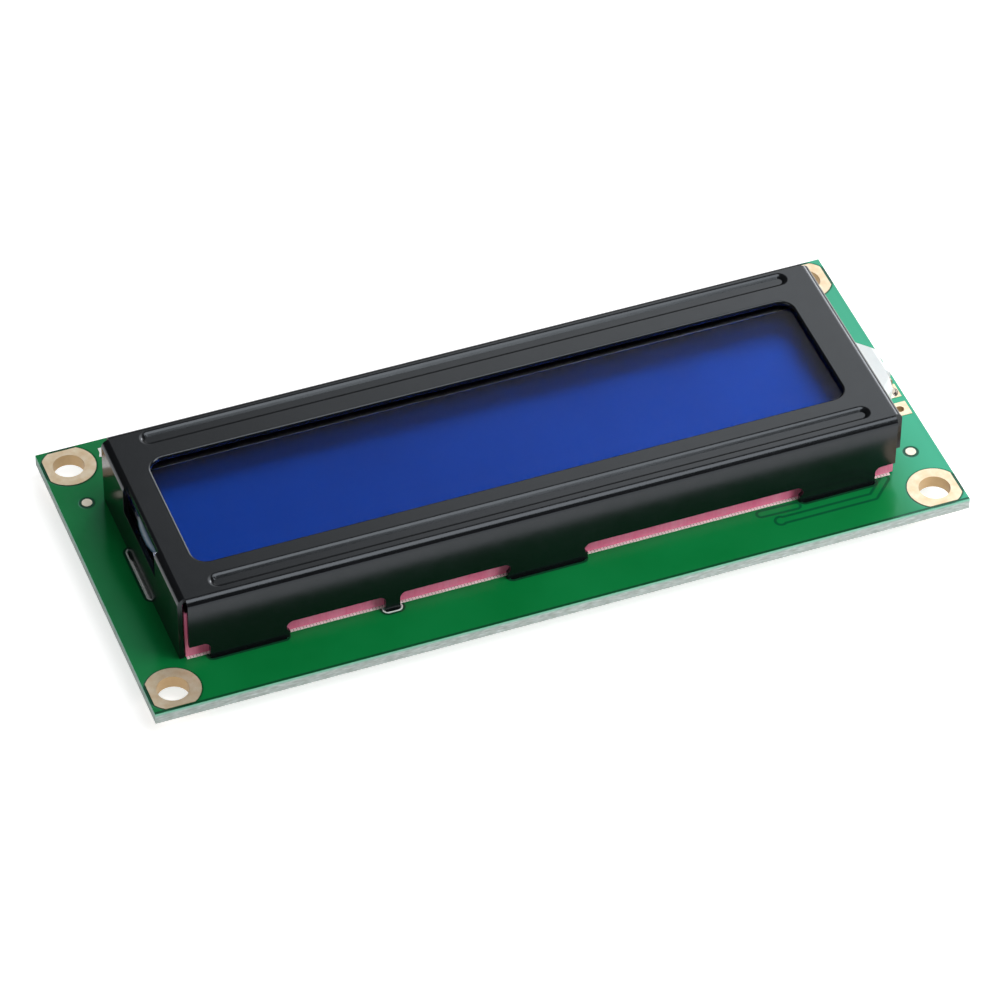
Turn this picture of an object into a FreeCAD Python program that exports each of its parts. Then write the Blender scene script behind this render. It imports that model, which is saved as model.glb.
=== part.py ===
import FreeCAD, Part

import math
import os

# Character display module, lying on its back with the glass facing up.
# X runs along the module, Y towards the connector row, Z up out of the glass.
# The origin is under the board's centre, on the surface that the lugs stand on.
# All sizes are in millimetres.

Vec = FreeCAD.Vector

# Circuit board
BOARD_LENGTH = 80.0
BOARD_WIDTH = 36.0
BOARD_THICKNESS = 1.2
COPPER = 0.05                # thickness of a pad and of a plated wall
COPPER_MARGIN = 0.3          # bare strip between a pad and the board's edge

# Mounting holes, one at each corner
MOUNT_INSET = 2.5            # from the board's edges to a hole's centre
MOUNT_HOLE = 3.0
MOUNT_PAD = 5.2

# Connector row along the back edge
HEADER_COUNT = 16
HEADER_PITCH = 2.54
HEADER_START = 8.0           # from the board's left edge to the first hole
HEADER_INSET = 2.5           # from the board's back edge to the row
HEADER_HOLE = 1.0
HEADER_PAD = 1.8
HEADER_PAD_SIDES = 12        # flats that stand for the small pad's round edge and bore

# Round alignment marks, mirrored through the board's centre
MARK_END_INSET = 2.6         # from the board's short edges
MARK_SIDE_INSET = 7.8        # from its long edges
MARK_DIAMETER = 1.0

# Pressed steel frame
SHEET = 0.45
FRAME_LEFT_MARGIN = 4.25     # from the board's edges to the walls' outer faces
FRAME_RIGHT_MARGIN = 4.75
FRAME_FRONT_MARGIN = 5.075
FRAME_BACK_MARGIN = 7.175
BEND_RADIUS = 0.75           # outside of a bend
WINDOW_LEFT_MARGIN = 3.125   # from the walls' outer faces to the window
WINDOW_RIGHT_MARGIN = 3.825
WINDOW_SIDE_MARGIN = 4.7
WINDOW_CORNER = 1.5
WINDOW_LIP = 0.2             # rounding of the window's upper edge
GROOVE_LEFT_MARGIN = 3.6     # from the end walls' outer faces to its ends
GROOVE_RIGHT_MARGIN = 2.9
GROOVE_WIDTH = 1.5           # at the top of the sheet
GROOVE_FLOOR = 0.8           # width at the bottom
GROOVE_DEPTH = 0.3
GROOVE_LIP = 0.6             # rounding of its upper edge
FRONT_GROOVE_INSET = 2.1     # from a wall's outer face to the groove's middle
BACK_GROOVE_INSET = 1.8

# Feet, lugs and pin along the frame's two long walls
FOOT_INSET = 6.4             # from an end wall's outer face to the middle of the end feet
MIDDLE_FOOT_SHIFT = -0.05    # from the frame's centre
FOOT_WIDTH = 7.3
FOOT_TOE = 0.3               # how far a foot's sole reaches under the opening beside it
OPENING_TOP = 1.9            # above the board
OPENING_FLOOR = 0.6
LUG_WIDTH = 2.6              # below the foot that it hangs from
LUG_PROUD = 1.5              # below the board's back face
LUG_TWIST = 40.0             # degrees
LUG_TWIST_HEIGHT = 0.6
PIN_SHIFT = -0.625           # from midway between the left and the middle foot
PIN_WIDTH = 1.4
PIN_DEPTH = 0.5              # of its round tip below the board's face
SLOT_SIDE_CLEARANCE = 0.2    # between a slot in the board and the sheet in it
SLOT_END_CLEARANCE = 0.15

# End walls of the frame
END_LUG_WIDTH = 6.6
END_LUG_PLACE = 0.5          # from the frame's centre, towards the back
END_LUG_FOLD = 2.2           # length of the part folded under the board
END_LUG_RADIUS = 0.6         # outside of its fold
NOTCH_LENGTH = 9.15
NOTCH_PLACE = 0.12           # from the frame's centre, towards the back
NOTCH_HEIGHT = 4.25          # of the notch's floor above the board
RIGHT_WALL_HEIGHT = 3.0      # of the right wall's lower edge above the board

# Display cell
GLASS_THICKNESS = 1.1
POLARISER_THICKNESS = 0.2
POLARISER_MARGIN = 1.2       # past the window's edge
CELL_GAP = 0.05
CELL_CLEARANCE = 0.3         # between the cell and the frame's walls
SEAL_WIDTH = 1.0
SEAL_INSET = 0.4
SEAL_MOUTH = 2.0             # filling gap in the seal
PLUG_LENGTH = 4.8
PLUG_HEIGHT = 1.9
PLUG_BULGE = 0.5
PLUG_SHIFT_Y = -0.2          # from the frame's centre

# Rubber connector strips and the contacts under them
STRIP_THICKNESS = 2.0
STRIP_CLEARANCE = 0.3        # between a strip and the long wall beside it
STRIP_END_CLEARANCE = 0.15
FINGER_PITCH = 1.27
FINGER_WIDTH = 0.8
FINGER_CLEARANCE = 0.05      # between a finger and the long wall

# Backlight
REFLECTOR_THICKNESS = 0.2
GUIDE_THICKNESS = 3.65
DIFFUSER_THICKNESS = 0.25
BACKLIGHT_CLEARANCE = 0.15   # between the diffuser and the cell
GUIDE_SIDE_CLEARANCE = 0.4   # between the light guide and a strip
GUIDE_END_INSET = 1.1        # from an end wall's inner face to the guide
HOLDER_HEIGHT = 2.4
HOLDER_CLEARANCE = 0.1       # round the pads below and the leads
HOLDER_REACH = 3.9           # past the frame's right wall
HOLDER_FRONT_INSET = 2.425   # from the light guide's sides to the holder's
HOLDER_BACK_INSET = 0.525
HOLDER_TIP_WIDTH = 4.8
HOLDER_ROOT_REACH = 0.9      # straight part before the sides slope in
HOLDER_BEVEL = 0.6
LED_LENGTH = 1.3
LED_WIDTH = 5.2
LED_HEIGHT = 1.6
LED_LIFT = 0.4               # of the lamp above the board
LEAD_WIDTH = 0.5
LEAD_THICKNESS = 0.3
LEAD_HEIGHT = 1.7            # of the lead's middle above the board
LEAD_PROUD = 0.8             # below the board's back face
LEAD_PITCH = 2.54
LEAD_SHIFT_Y = -0.69         # from the board's middle line to midway between the leads
LED_PAD_INSET = 1.2          # from the board's right edge
LED_PAD = 1.8
LED_HOLE = 0.8
SOLDER_HEIGHT = 0.6
SOLDER_CROWN = 0.15          # above the pad on the board's front
SOLDER_TIP = 1.1             # diameter at the joint's narrow end

# Parts on the board's back
BLOB_DIAMETER = 15.0
BLOB_HEIGHT = 1.2
BLOB_BANDS = 4               # sloping bands between its rim and its flat crown
BLOB_SPACING = 27.0
BLOB_SHIFT_Y = -2.0          # from the board's middle line
CHIP_LENGTH = 2.0
CHIP_WIDTH = 1.25
CHIP_HEIGHT = 0.5
CHIP_CAP = 0.4               # length of a metal end
CHIP_CAP_PROUD = 0.03
LADDER_COUNT = 5
LADDER_PITCH = 3.6
LADDER_START = 14.0          # from the board's left edge to the first resistor
CHIP_ROW_INSET = 2.825       # from the back wall's outer face to the row of chips
OSCILLATOR_INSET = 5.625     # from the back wall's outer face
LAMP_RESISTOR_INSET = 9.0    # from the board's right edge
LAMP_RESISTOR_Y = 2.0
CAPACITOR_INSET = 16.0       # from the board's right edge
CAPACITOR_HEIGHT = 0.85

# Heights, from the resting plane up
BOARD_BACK = LUG_PROUD
BOARD_TOP = BOARD_BACK + BOARD_THICKNESS
REFLECTOR_TOP = BOARD_TOP + REFLECTOR_THICKNESS
GUIDE_TOP = REFLECTOR_TOP + GUIDE_THICKNESS
DIFFUSER_TOP = GUIDE_TOP + DIFFUSER_THICKNESS
REAR_POLARISER_BOTTOM = DIFFUSER_TOP + BACKLIGHT_CLEARANCE
LOWER_GLASS_BOTTOM = REAR_POLARISER_BOTTOM + POLARISER_THICKNESS
LOWER_GLASS_TOP = LOWER_GLASS_BOTTOM + GLASS_THICKNESS
UPPER_GLASS_BOTTOM = LOWER_GLASS_TOP + CELL_GAP
UPPER_GLASS_TOP = UPPER_GLASS_BOTTOM + GLASS_THICKNESS
FRAME_UNDERSIDE = UPPER_GLASS_TOP + GROOVE_DEPTH
FRAME_TOP = FRAME_UNDERSIDE + SHEET

# Edges of the board, and outer faces of the frame's walls
BOARD_RIGHT = BOARD_LENGTH / 2
BOARD_LEFT = -BOARD_RIGHT
BOARD_FAR = BOARD_WIDTH / 2
BOARD_NEAR = -BOARD_FAR
FRAME_LEFT = BOARD_LEFT + FRAME_LEFT_MARGIN
FRAME_RIGHT = BOARD_RIGHT - FRAME_RIGHT_MARGIN
FRAME_FRONT = BOARD_NEAR + FRAME_FRONT_MARGIN
FRAME_BACK = BOARD_FAR - FRAME_BACK_MARGIN
FRAME_CENTRE_X = (FRAME_LEFT + FRAME_RIGHT) / 2
FRAME_CENTRE_Y = (FRAME_FRONT + FRAME_BACK) / 2

# Inner faces of the strips, where the lower glass and the backlight have their room
FRONT_STRIP_OUTER = FRAME_FRONT + SHEET + STRIP_CLEARANCE
BACK_STRIP_OUTER = FRAME_BACK - SHEET - STRIP_CLEARANCE
FRONT_STRIP_INNER = FRONT_STRIP_OUTER + STRIP_THICKNESS
BACK_STRIP_INNER = BACK_STRIP_OUTER - STRIP_THICKNESS

# Ends of the display cell
CELL_LEFT = FRAME_LEFT + SHEET + CELL_CLEARANCE
CELL_RIGHT = FRAME_RIGHT - SHEET - CELL_CLEARANCE

# Ends of the light guide, and the holder beyond it
GUIDE_LEFT = FRAME_LEFT + SHEET + GUIDE_END_INSET
GUIDE_RIGHT = FRAME_RIGHT - SHEET - GUIDE_END_INSET
GUIDE_FRONT = FRONT_STRIP_INNER + GUIDE_SIDE_CLEARANCE
GUIDE_BACK = BACK_STRIP_INNER - GUIDE_SIDE_CLEARANCE
HOLDER_LEFT = GUIDE_RIGHT
HOLDER_FRONT = GUIDE_FRONT + HOLDER_FRONT_INSET
HOLDER_BACK = GUIDE_BACK - HOLDER_BACK_INSET
HOLDER_TIP = FRAME_RIGHT + HOLDER_REACH
HOLDER_TOP = BOARD_TOP + HOLDER_HEIGHT
LEAD_LEVEL = BOARD_TOP + LEAD_HEIGHT
LED_PAD_X = BOARD_RIGHT - LED_PAD_INSET
LEAD_FIRST_Y = LEAD_SHIFT_Y - LEAD_PITCH / 2

OVERCUT = 1.0                # how far a cutting tool runs past the face it cuts


def block(x0, x1, y0, y1, z0, z1):
    """Block between two opposite corners."""
    return Part.makeBox(x1 - x0, y1 - y0, z1 - z0, Vec(x0, y0, z0))


def disc(x, y, z0, z1, diameter):
    """Upright round disc or pin."""
    return Part.makeCylinder(diameter / 2, z1 - z0, Vec(x, y, z0))


def closed(points):
    """Closed outline through some corners."""
    return Part.makePolygon(points + points[:1])


def raised(wire, height):
    """Solid raised straight up from a flat outline."""
    return Part.Face(wire).extrude(Vec(0, 0, height))


def obround_wire(x, y, z, length, width):
    """Outline with straight sides along X and half-round ends."""
    radius = width / 2
    reach = length / 2 - radius
    near_left = Vec(x - reach, y - radius, z)
    near_right = Vec(x + reach, y - radius, z)
    far_right = Vec(x + reach, y + radius, z)
    far_left = Vec(x - reach, y + radius, z)
    right_end = Part.Arc(near_right, Vec(x + reach + radius, y, z), far_right)
    left_end = Part.Arc(far_left, Vec(x - reach - radius, y, z), near_left)
    return Part.Wire([
        Part.LineSegment(near_left, near_right).toShape(),
        right_end.toShape(),
        Part.LineSegment(far_right, far_left).toShape(),
        left_end.toShape(),
    ])


def obround(x, y, z0, z1, length, width):
    """Upright solid with half-round ends and its long side along X."""
    return raised(obround_wire(x, y, z0, length, width), z1 - z0)


def turned_obround(x, y, z0, z1, length, width):
    """Upright solid with half-round ends and its long side along Y."""
    solid = obround(x, y, z0, z1, length, width)
    solid.rotate(Vec(x, y, z0), Vec(0, 0, 1), 90)
    return solid


def rounded_block(x0, x1, y0, y1, z0, z1, radius):
    """Block with its four upright edges rounded."""
    solid = block(x0, x1, y0, y1, z0, z1)
    upright = [edge for edge in solid.Edges if edge.BoundBox.ZLength > (z1 - z0) / 2]
    return solid.makeFillet(radius, upright)


def plated_hole(x, y, hole, pad_front, pad_back):
    """Plating of one hole: two pads joined by a thin wall, with the bore open."""
    wall = disc(x, y, BOARD_BACK, BOARD_TOP, hole + 2 * COPPER)
    bore = disc(x, y, BOARD_BACK - OVERCUT, BOARD_TOP + OVERCUT, hole)
    return wall.fuse([pad_front, pad_back]).removeSplitter().cut(bore)


def header_sleeve(x, y, z0, z1, diameter):
    """Twelve-sided disc for a header pad or its bore."""
    corners = []
    for index in range(HEADER_PAD_SIDES):
        angle = 2 * math.pi * index / HEADER_PAD_SIDES
        corners.append(Vec(x + diameter / 2 * math.cos(angle), y + diameter / 2 * math.sin(angle), z0))
    return raised(closed(corners), z1 - z0)


def header_pad(x, y):
    """Plating of one header hole, drawn as a sleeve as wide as its pads."""
    sleeve = header_sleeve(x, y, BOARD_BACK - COPPER, BOARD_TOP + COPPER, HEADER_PAD)
    return sleeve.cut(header_sleeve(x, y, BOARD_BACK - OVERCUT, BOARD_TOP + OVERCUT, HEADER_HOLE))


def round_pads(x, y, diameter):
    """Round pads on both faces of the board, flat where they would near its edge."""
    keep_x = BOARD_RIGHT - COPPER_MARGIN
    keep_y = BOARD_FAR - COPPER_MARGIN
    kept = block(-keep_x, keep_x, -keep_y, keep_y, BOARD_BACK - OVERCUT, BOARD_TOP + OVERCUT)
    front = disc(x, y, BOARD_TOP, BOARD_TOP + COPPER, diameter)
    back = disc(x, y, BOARD_BACK - COPPER, BOARD_BACK, diameter)
    return front.common(kept), back.common(kept)


def square_pads(x, y, side):
    """Square pads on both faces of the board."""
    half = side / 2
    front = block(x - half, x + half, y - half, y + half, BOARD_TOP, BOARD_TOP + COPPER)
    back = block(x - half, x + half, y - half, y + half, BOARD_BACK - COPPER, BOARD_BACK)
    return front, back


# Places that more than one piece uses

def mount_places():
    """Centres of the four mounting holes."""
    rows = (BOARD_NEAR + MOUNT_INSET, BOARD_FAR - MOUNT_INSET)
    return [(x, y) for y in rows for x in (BOARD_LEFT + MOUNT_INSET, BOARD_RIGHT - MOUNT_INSET)]


def header_places():
    """Centres of the connector holes, from the left."""
    first = BOARD_LEFT + HEADER_START
    row = BOARD_FAR - HEADER_INSET
    return [(first + HEADER_PITCH * index, row) for index in range(HEADER_COUNT)]


def lead_places():
    """Centres of the two holes that hold the lamp's leads."""
    return [(LED_PAD_X, LEAD_FIRST_Y), (LED_PAD_X, LEAD_FIRST_Y + LEAD_PITCH)]


def spare_place():
    """Centre of the unused lamp pad, one pitch in front of the leads."""
    return LED_PAD_X, LEAD_FIRST_Y - LEAD_PITCH


def wall_middles():
    """Middle planes of the frame's front and back walls."""
    return FRAME_FRONT + SHEET / 2, FRAME_BACK - SHEET / 2


def foot_middles():
    """Middles of the three feet along a wall, from the left."""
    return FRAME_LEFT + FOOT_INSET, FRAME_CENTRE_X + MIDDLE_FOOT_SHIFT, FRAME_RIGHT - FOOT_INSET


def pin_middle():
    """Middle of the narrow pin along a wall."""
    left, middle, _ = foot_middles()
    return (left + middle) / 2 + PIN_SHIFT


def foot_places():
    """Centres of the six feet and of the twisted lugs below them."""
    return [(x, y) for y in wall_middles() for x in foot_middles()]


def pin_places():
    """Centres of the two narrow locating pins."""
    return [(pin_middle(), y) for y in wall_middles()]


def end_lug_centre():
    """Centre of the wide lug on the left wall."""
    return FRAME_LEFT + SHEET / 2, FRAME_CENTRE_Y + END_LUG_PLACE


def slot_width():
    """Width of every slot that the frame's sheet goes through."""
    return SHEET + 2 * SLOT_SIDE_CLEARANCE


def slot_length(width):
    """Length of the slot for a foot, pin or lug of some width."""
    return width + 2 * SLOT_END_CLEARANCE


def blob_places():
    """Centres of the two chip covers on the board's back."""
    half = BLOB_SPACING / 2
    return [(FRAME_CENTRE_X - half, BLOB_SHIFT_Y), (FRAME_CENTRE_X + half, BLOB_SHIFT_Y)]


# Circuit board and its copper

def circuit_board():
    """Laminate with every hole and slot that goes through it."""
    board = block(BOARD_LEFT, BOARD_RIGHT, BOARD_NEAR, BOARD_FAR, BOARD_BACK, BOARD_TOP)
    low = BOARD_BACK - OVERCUT
    high = BOARD_TOP + OVERCUT
    cuts = [disc(x, y, low, high, MOUNT_HOLE + 2 * COPPER) for x, y in mount_places()]
    cuts += [header_sleeve(x, y, low, high, HEADER_PAD) for x, y in header_places()]
    cuts += [disc(x, y, low, high, LED_HOLE + 2 * COPPER) for x, y in lead_places() + [spare_place()]]
    cuts += [obround(x, y, low, high, slot_length(FOOT_WIDTH), slot_width()) for x, y in foot_places()]
    cuts += [obround(x, y, low, high, slot_length(PIN_WIDTH), slot_width()) for x, y in pin_places()]
    end_x, end_y = end_lug_centre()
    cuts.append(turned_obround(end_x, end_y, low, high, slot_length(END_LUG_WIDTH), slot_width()))
    return board.cut(cuts)


def alignment_mark(x, y):
    """Bare round copper mark on the board's front."""
    return disc(x, y, BOARD_TOP, BOARD_TOP + COPPER, MARK_DIAMETER)


def slot_ranges():
    """Stretches along X where a slot in the board lies beside the contact fingers."""
    foot = slot_length(FOOT_WIDTH) / 2
    pin = slot_length(PIN_WIDTH) / 2
    return [(x, foot) for x, _ in foot_places()] + [(x, pin) for x, _ in pin_places()]


def contact_fingers(tip, strip, inner):
    """Row of flat contacts under one rubber strip, as separate solids.

    They run from tip to inner. Those beside a slot start at the strip's outer face.
    """
    left = FRAME_LEFT + SHEET + STRIP_END_CLEARANCE
    right = FRAME_RIGHT - SHEET - STRIP_END_CLEARANCE
    count = int((right - left) / FINGER_PITCH)
    start = (left + right - FINGER_PITCH * (count - 1)) / 2
    edge = FINGER_WIDTH / 2
    fingers = []
    for index in range(count):
        x = start + FINGER_PITCH * index
        beside_slot = any(abs(x - middle) < half + FINGER_PITCH for middle, half in slot_ranges())
        outer = strip if beside_slot else tip
        near = min(outer, inner)
        far = max(outer, inner)
        fingers.append(block(x - edge, x + edge, near, far, BOARD_TOP, BOARD_TOP + COPPER))
    return Part.makeCompound(fingers)


# Pressed steel frame

def channel_face(low_side, high_side, low_bottom, high_bottom, at, point):
    """Cross-section of a bent sheet: two walls and the plate that joins them.

    point(side, height, at) places a point of the section in space.
    """
    outer = BEND_RADIUS
    inner = BEND_RADIUS - SHEET
    shoulder = FRAME_TOP - outer

    def bend(side, direction, radius):
        """Quarter round between a wall and the plate, from the wall's end up."""
        centre = side + direction * outer
        lean = radius * math.sqrt(0.5)
        start = point(centre - direction * radius, shoulder, at)
        middle = point(centre - direction * lean, shoulder + lean, at)
        end = point(centre, shoulder + radius, at)
        return start, middle, end

    low_outer = bend(low_side, 1, outer)
    high_outer = bend(high_side, -1, outer)
    high_inner = bend(high_side, -1, inner)
    low_inner = bend(low_side, 1, inner)
    low_foot = point(low_side, low_bottom, at)
    low_foot_inner = point(low_side + SHEET, low_bottom, at)
    high_foot = point(high_side, high_bottom, at)
    high_foot_inner = point(high_side - SHEET, high_bottom, at)
    pieces = [
        Part.LineSegment(low_foot, low_outer[0]),
        Part.Arc(*low_outer),
        Part.LineSegment(low_outer[2], high_outer[2]),
        Part.Arc(*reversed(high_outer)),
        Part.LineSegment(high_outer[0], high_foot),
        Part.LineSegment(high_foot, high_foot_inner),
        Part.LineSegment(high_foot_inner, high_inner[0]),
        Part.Arc(*high_inner),
        Part.LineSegment(high_inner[2], low_inner[2]),
        Part.Arc(*reversed(low_inner)),
        Part.LineSegment(low_inner[0], low_foot_inner),
        Part.LineSegment(low_foot_inner, low_foot),
    ]
    return Part.Face(Part.Wire([piece.toShape() for piece in pieces]))


def long_walls():
    """Plate with the front and back walls, which end where the end bends start."""
    start = FRAME_LEFT + BEND_RADIUS
    length = FRAME_RIGHT - FRAME_LEFT - 2 * BEND_RADIUS
    face = channel_face(FRAME_FRONT, FRAME_BACK, BOARD_TOP, BOARD_TOP, start,
                        lambda side, height, at: Vec(at, side, height))
    return face.extrude(Vec(length, 0, 0))


def end_walls():
    """Plate with the left wall down to the board and the shorter right wall."""
    start = FRAME_FRONT + BEND_RADIUS
    length = FRAME_BACK - FRAME_FRONT - 2 * BEND_RADIUS
    face = channel_face(FRAME_LEFT, FRAME_RIGHT, BOARD_TOP, BOARD_TOP + RIGHT_WALL_HEIGHT, start,
                        lambda side, height, at: Vec(side, at, height))
    return face.extrude(Vec(0, length, 0))


def wall_opening(left, right, left_toe, right_toe, y0, y1):
    """Round-ended gap low in a long wall, open to the board, with soles left at its ends."""
    height = OPENING_TOP - OPENING_FLOOR
    middle = (OPENING_TOP + OPENING_FLOOR) / 2
    slot = obround((left + right) / 2, 0, 0, y1 - y0, right - left, height)
    slot.rotate(Vec(0, 0, 0), Vec(1, 0, 0), 90)
    slot.translate(Vec(0, y1, BOARD_TOP + middle))
    mouth = block(left + left_toe, right - right_toe, y0, y1, BOARD_TOP - OVERCUT, BOARD_TOP + middle)
    return slot.fuse(mouth)


def wall_openings(y0, y1):
    """Every gap in one long wall: between its feet, and from the end feet to its ends."""
    feet = [(x - FOOT_WIDTH / 2, x + FOOT_WIDTH / 2, FOOT_TOE) for x in foot_middles()]
    feet.append((pin_middle() - PIN_WIDTH / 2, pin_middle() + PIN_WIDTH / 2, 0))
    feet.sort()
    gaps = [wall_opening(before[1], after[0], before[2], after[2], y0, y1)
            for before, after in zip(feet, feet[1:])]
    past = BEND_RADIUS + 2 * OVERCUT
    gaps.append(wall_opening(FRAME_LEFT - past, feet[0][0], 0, 0, y0, y1))
    gaps.append(wall_opening(feet[-1][1], FRAME_RIGHT + past, 0, 0, y0, y1))
    return gaps


def creased_solid(upper, lower):
    """Solid between two outlines with as many corners, each side creased once."""
    faces = [Part.Face(closed(upper)), Part.Face(closed(lower))]
    for index, above in enumerate(upper):
        following = (index + 1) % len(upper)
        faces.append(Part.Face(closed([above, upper[following], lower[following]])))
        faces.append(Part.Face(closed([above, lower[following], lower[index]])))
    return Part.makeSolid(Part.makeShell(faces))


def twisted_lug(x, y):
    """Lug below a foot: the foot fills its slot, and the lug is twisted below the board."""
    half_foot = FOOT_WIDTH / 2
    half_sheet = SHEET / 2
    foot = block(x - half_foot, x + half_foot, y - half_sheet, y + half_sheet,
                 BOARD_BACK, BOARD_TOP + OPENING_FLOOR / 2)

    def corners(height, angle):
        """Corners of the lug at one height, turned by an angle in degrees."""
        half_width = LUG_WIDTH / 2
        turn = FreeCAD.Rotation(Vec(0, 0, 1), angle)
        flat = [(-half_width, -half_sheet), (half_width, -half_sheet),
                (half_width, half_sheet), (-half_width, half_sheet)]
        return [Vec(x, y, height) + turn.multVec(Vec(u, v, 0)) for u, v in flat]

    tail_top = BOARD_BACK - LUG_TWIST_HEIGHT
    twist = creased_solid(corners(BOARD_BACK, 0), corners(tail_top, LUG_TWIST))
    tail = Part.Face(closed(corners(tail_top, LUG_TWIST))).extrude(Vec(0, 0, -tail_top))
    return [foot, twist, tail]


def locating_pin(x, y):
    """Narrow foot whose round tip sits in a short slot in the board."""
    radius = PIN_WIDTH / 2
    height = OPENING_TOP + SHEET + PIN_DEPTH
    pin = obround(0, 0, 0, SHEET, 2 * height, PIN_WIDTH)
    pin.rotate(Vec(0, 0, 0), Vec(0, 0, 1), 90)
    pin.rotate(Vec(0, 0, 0), Vec(1, 0, 0), 90)
    pin.translate(Vec(x, y + SHEET / 2, BOARD_TOP - PIN_DEPTH + height))
    zone = block(x - radius, x + radius, y - SHEET, y + SHEET, BOARD_BACK, BOARD_TOP + OPENING_TOP + SHEET)
    return pin.common(zone)


def end_lug():
    """Wide lug on the left wall, folded flat under the board."""
    x, y = end_lug_centre()
    outside = x - SHEET / 2
    bottom = BOARD_BACK - SHEET
    outer = END_LUG_RADIUS
    inner = outer - SHEET
    centre_x = outside + outer
    centre_z = bottom + outer
    lean = math.sqrt(0.5)
    y0 = y - END_LUG_WIDTH / 2
    root = BOARD_TOP + SHEET
    tip = outside + END_LUG_FOLD
    pieces = [
        Part.LineSegment(Vec(outside, y0, root), Vec(outside, y0, centre_z)),
        Part.Arc(Vec(outside, y0, centre_z),
                 Vec(centre_x - outer * lean, y0, centre_z - outer * lean),
                 Vec(centre_x, y0, bottom)),
        Part.LineSegment(Vec(centre_x, y0, bottom), Vec(tip, y0, bottom)),
        Part.LineSegment(Vec(tip, y0, bottom), Vec(tip, y0, BOARD_BACK)),
        Part.LineSegment(Vec(tip, y0, BOARD_BACK), Vec(centre_x, y0, BOARD_BACK)),
        Part.Arc(Vec(centre_x, y0, BOARD_BACK),
                 Vec(centre_x - inner * lean, y0, centre_z - inner * lean),
                 Vec(outside + SHEET, y0, centre_z)),
        Part.LineSegment(Vec(outside + SHEET, y0, centre_z), Vec(outside + SHEET, y0, root)),
        Part.LineSegment(Vec(outside + SHEET, y0, root), Vec(outside, y0, root)),
    ]
    face = Part.Face(Part.Wire([piece.toShape() for piece in pieces]))
    return face.extrude(Vec(0, END_LUG_WIDTH, 0))


def groove_places():
    """Middle lines of the two pressed grooves."""
    return FRAME_FRONT + FRONT_GROOVE_INSET, FRAME_BACK - BACK_GROOVE_INSET


def groove_tool(y, top, extra):
    """Long tapered trough: the sunk side of a groove, or with extra width its underside."""
    depth = GROOVE_DEPTH
    taper = (GROOVE_WIDTH - GROOVE_FLOOR) / depth
    left = FRAME_LEFT + GROOVE_LEFT_MARGIN
    right = FRAME_RIGHT - GROOVE_RIGHT_MARGIN
    x = (left + right) / 2
    length = right - left
    rise = OVERCUT / 2
    spread = extra + rise * taper
    shrink = GROOVE_WIDTH - GROOVE_FLOOR
    upper = obround_wire(x, y, top + rise, length + spread, GROOVE_WIDTH + spread)
    lower = obround_wire(x, y, top - depth, length + extra - shrink, GROOVE_FLOOR + extra)
    return Part.makeLoft([upper, lower], True, True)


def pressed_underside(y):
    """Ridge that a groove raises under the plate, down to the glass."""
    tool = groove_tool(y, FRAME_UNDERSIDE, SHEET)
    zone = block(FRAME_LEFT, FRAME_RIGHT, y - BACK_GROOVE_INSET, y + BACK_GROOVE_INSET,
                 UPPER_GLASS_TOP, FRAME_UNDERSIDE + SHEET / 2)
    return tool.common(zone)


def window_limits():
    """Edges of the viewing window."""
    return (FRAME_LEFT + WINDOW_LEFT_MARGIN, FRAME_RIGHT - WINDOW_RIGHT_MARGIN,
            FRAME_FRONT + WINDOW_SIDE_MARGIN, FRAME_BACK - WINDOW_SIDE_MARGIN)


def edges_on_top(shape, x0, x1, y0, y1):
    """Edges that lie in the plate's upper face inside a rectangle."""
    found = []
    for edge in shape.Edges:
        room = edge.BoundBox
        level = abs(room.ZMin - FRAME_TOP) < 1e-4 and abs(room.ZMax - FRAME_TOP) < 1e-4
        inside = room.XMin > x0 and room.XMax < x1 and room.YMin > y0 and room.YMax < y1
        if level and inside:
            found.append(edge)
    return found


def metal_frame():
    """One pressed sheet: plate, four walls, window, grooves, feet, lugs and pins."""
    shell = long_walls().fuse(end_walls()).removeSplitter()
    cuts = []
    for face in (FRAME_FRONT, FRAME_BACK - SHEET):
        cuts += wall_openings(face - SHEET / 2, face + SHEET * 1.5)
    notch_y = FRAME_CENTRE_Y + NOTCH_PLACE
    notch_half = NOTCH_LENGTH / 2
    cuts.append(block(FRAME_LEFT - OVERCUT, FRAME_LEFT + SHEET, notch_y - notch_half, notch_y + notch_half,
                      BOARD_TOP + NOTCH_HEIGHT, FRAME_TOP + OVERCUT))
    shell = shell.cut(cuts)
    additions = [end_lug()]
    for x, y in foot_places():
        additions += twisted_lug(x, y)
    additions += [locating_pin(x, y) for x, y in pin_places()]
    additions += [pressed_underside(y) for y in groove_places()]
    shell = shell.fuse(additions).removeSplitter()
    left, right, front, back = window_limits()
    window = rounded_block(left, right, front, back, UPPER_GLASS_TOP, FRAME_TOP + OVERCUT, WINDOW_CORNER)
    shell = shell.cut([window] + [groove_tool(y, FRAME_TOP, 0) for y in groove_places()])
    lip = edges_on_top(shell, left - 0.01, right + 0.01, front - 0.01, back + 0.01)
    shell = shell.makeFillet(WINDOW_LIP, lip)
    for y in groove_places():
        reach = GROOVE_WIDTH / 2 + 0.01
        lip = edges_on_top(shell, FRAME_LEFT, FRAME_RIGHT, y - reach, y + reach)
        shell = shell.makeFillet(GROOVE_LIP, lip)
    return shell


# Display cell

def upper_glass():
    """Front glass, which overhangs both strips."""
    return block(CELL_LEFT, CELL_RIGHT, FRONT_STRIP_OUTER, BACK_STRIP_OUTER,
                 UPPER_GLASS_BOTTOM, UPPER_GLASS_TOP)


def lower_glass_limits():
    """Front and back edges of the narrower rear glass."""
    return FRONT_STRIP_INNER + CELL_CLEARANCE, BACK_STRIP_INNER - CELL_CLEARANCE


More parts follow.
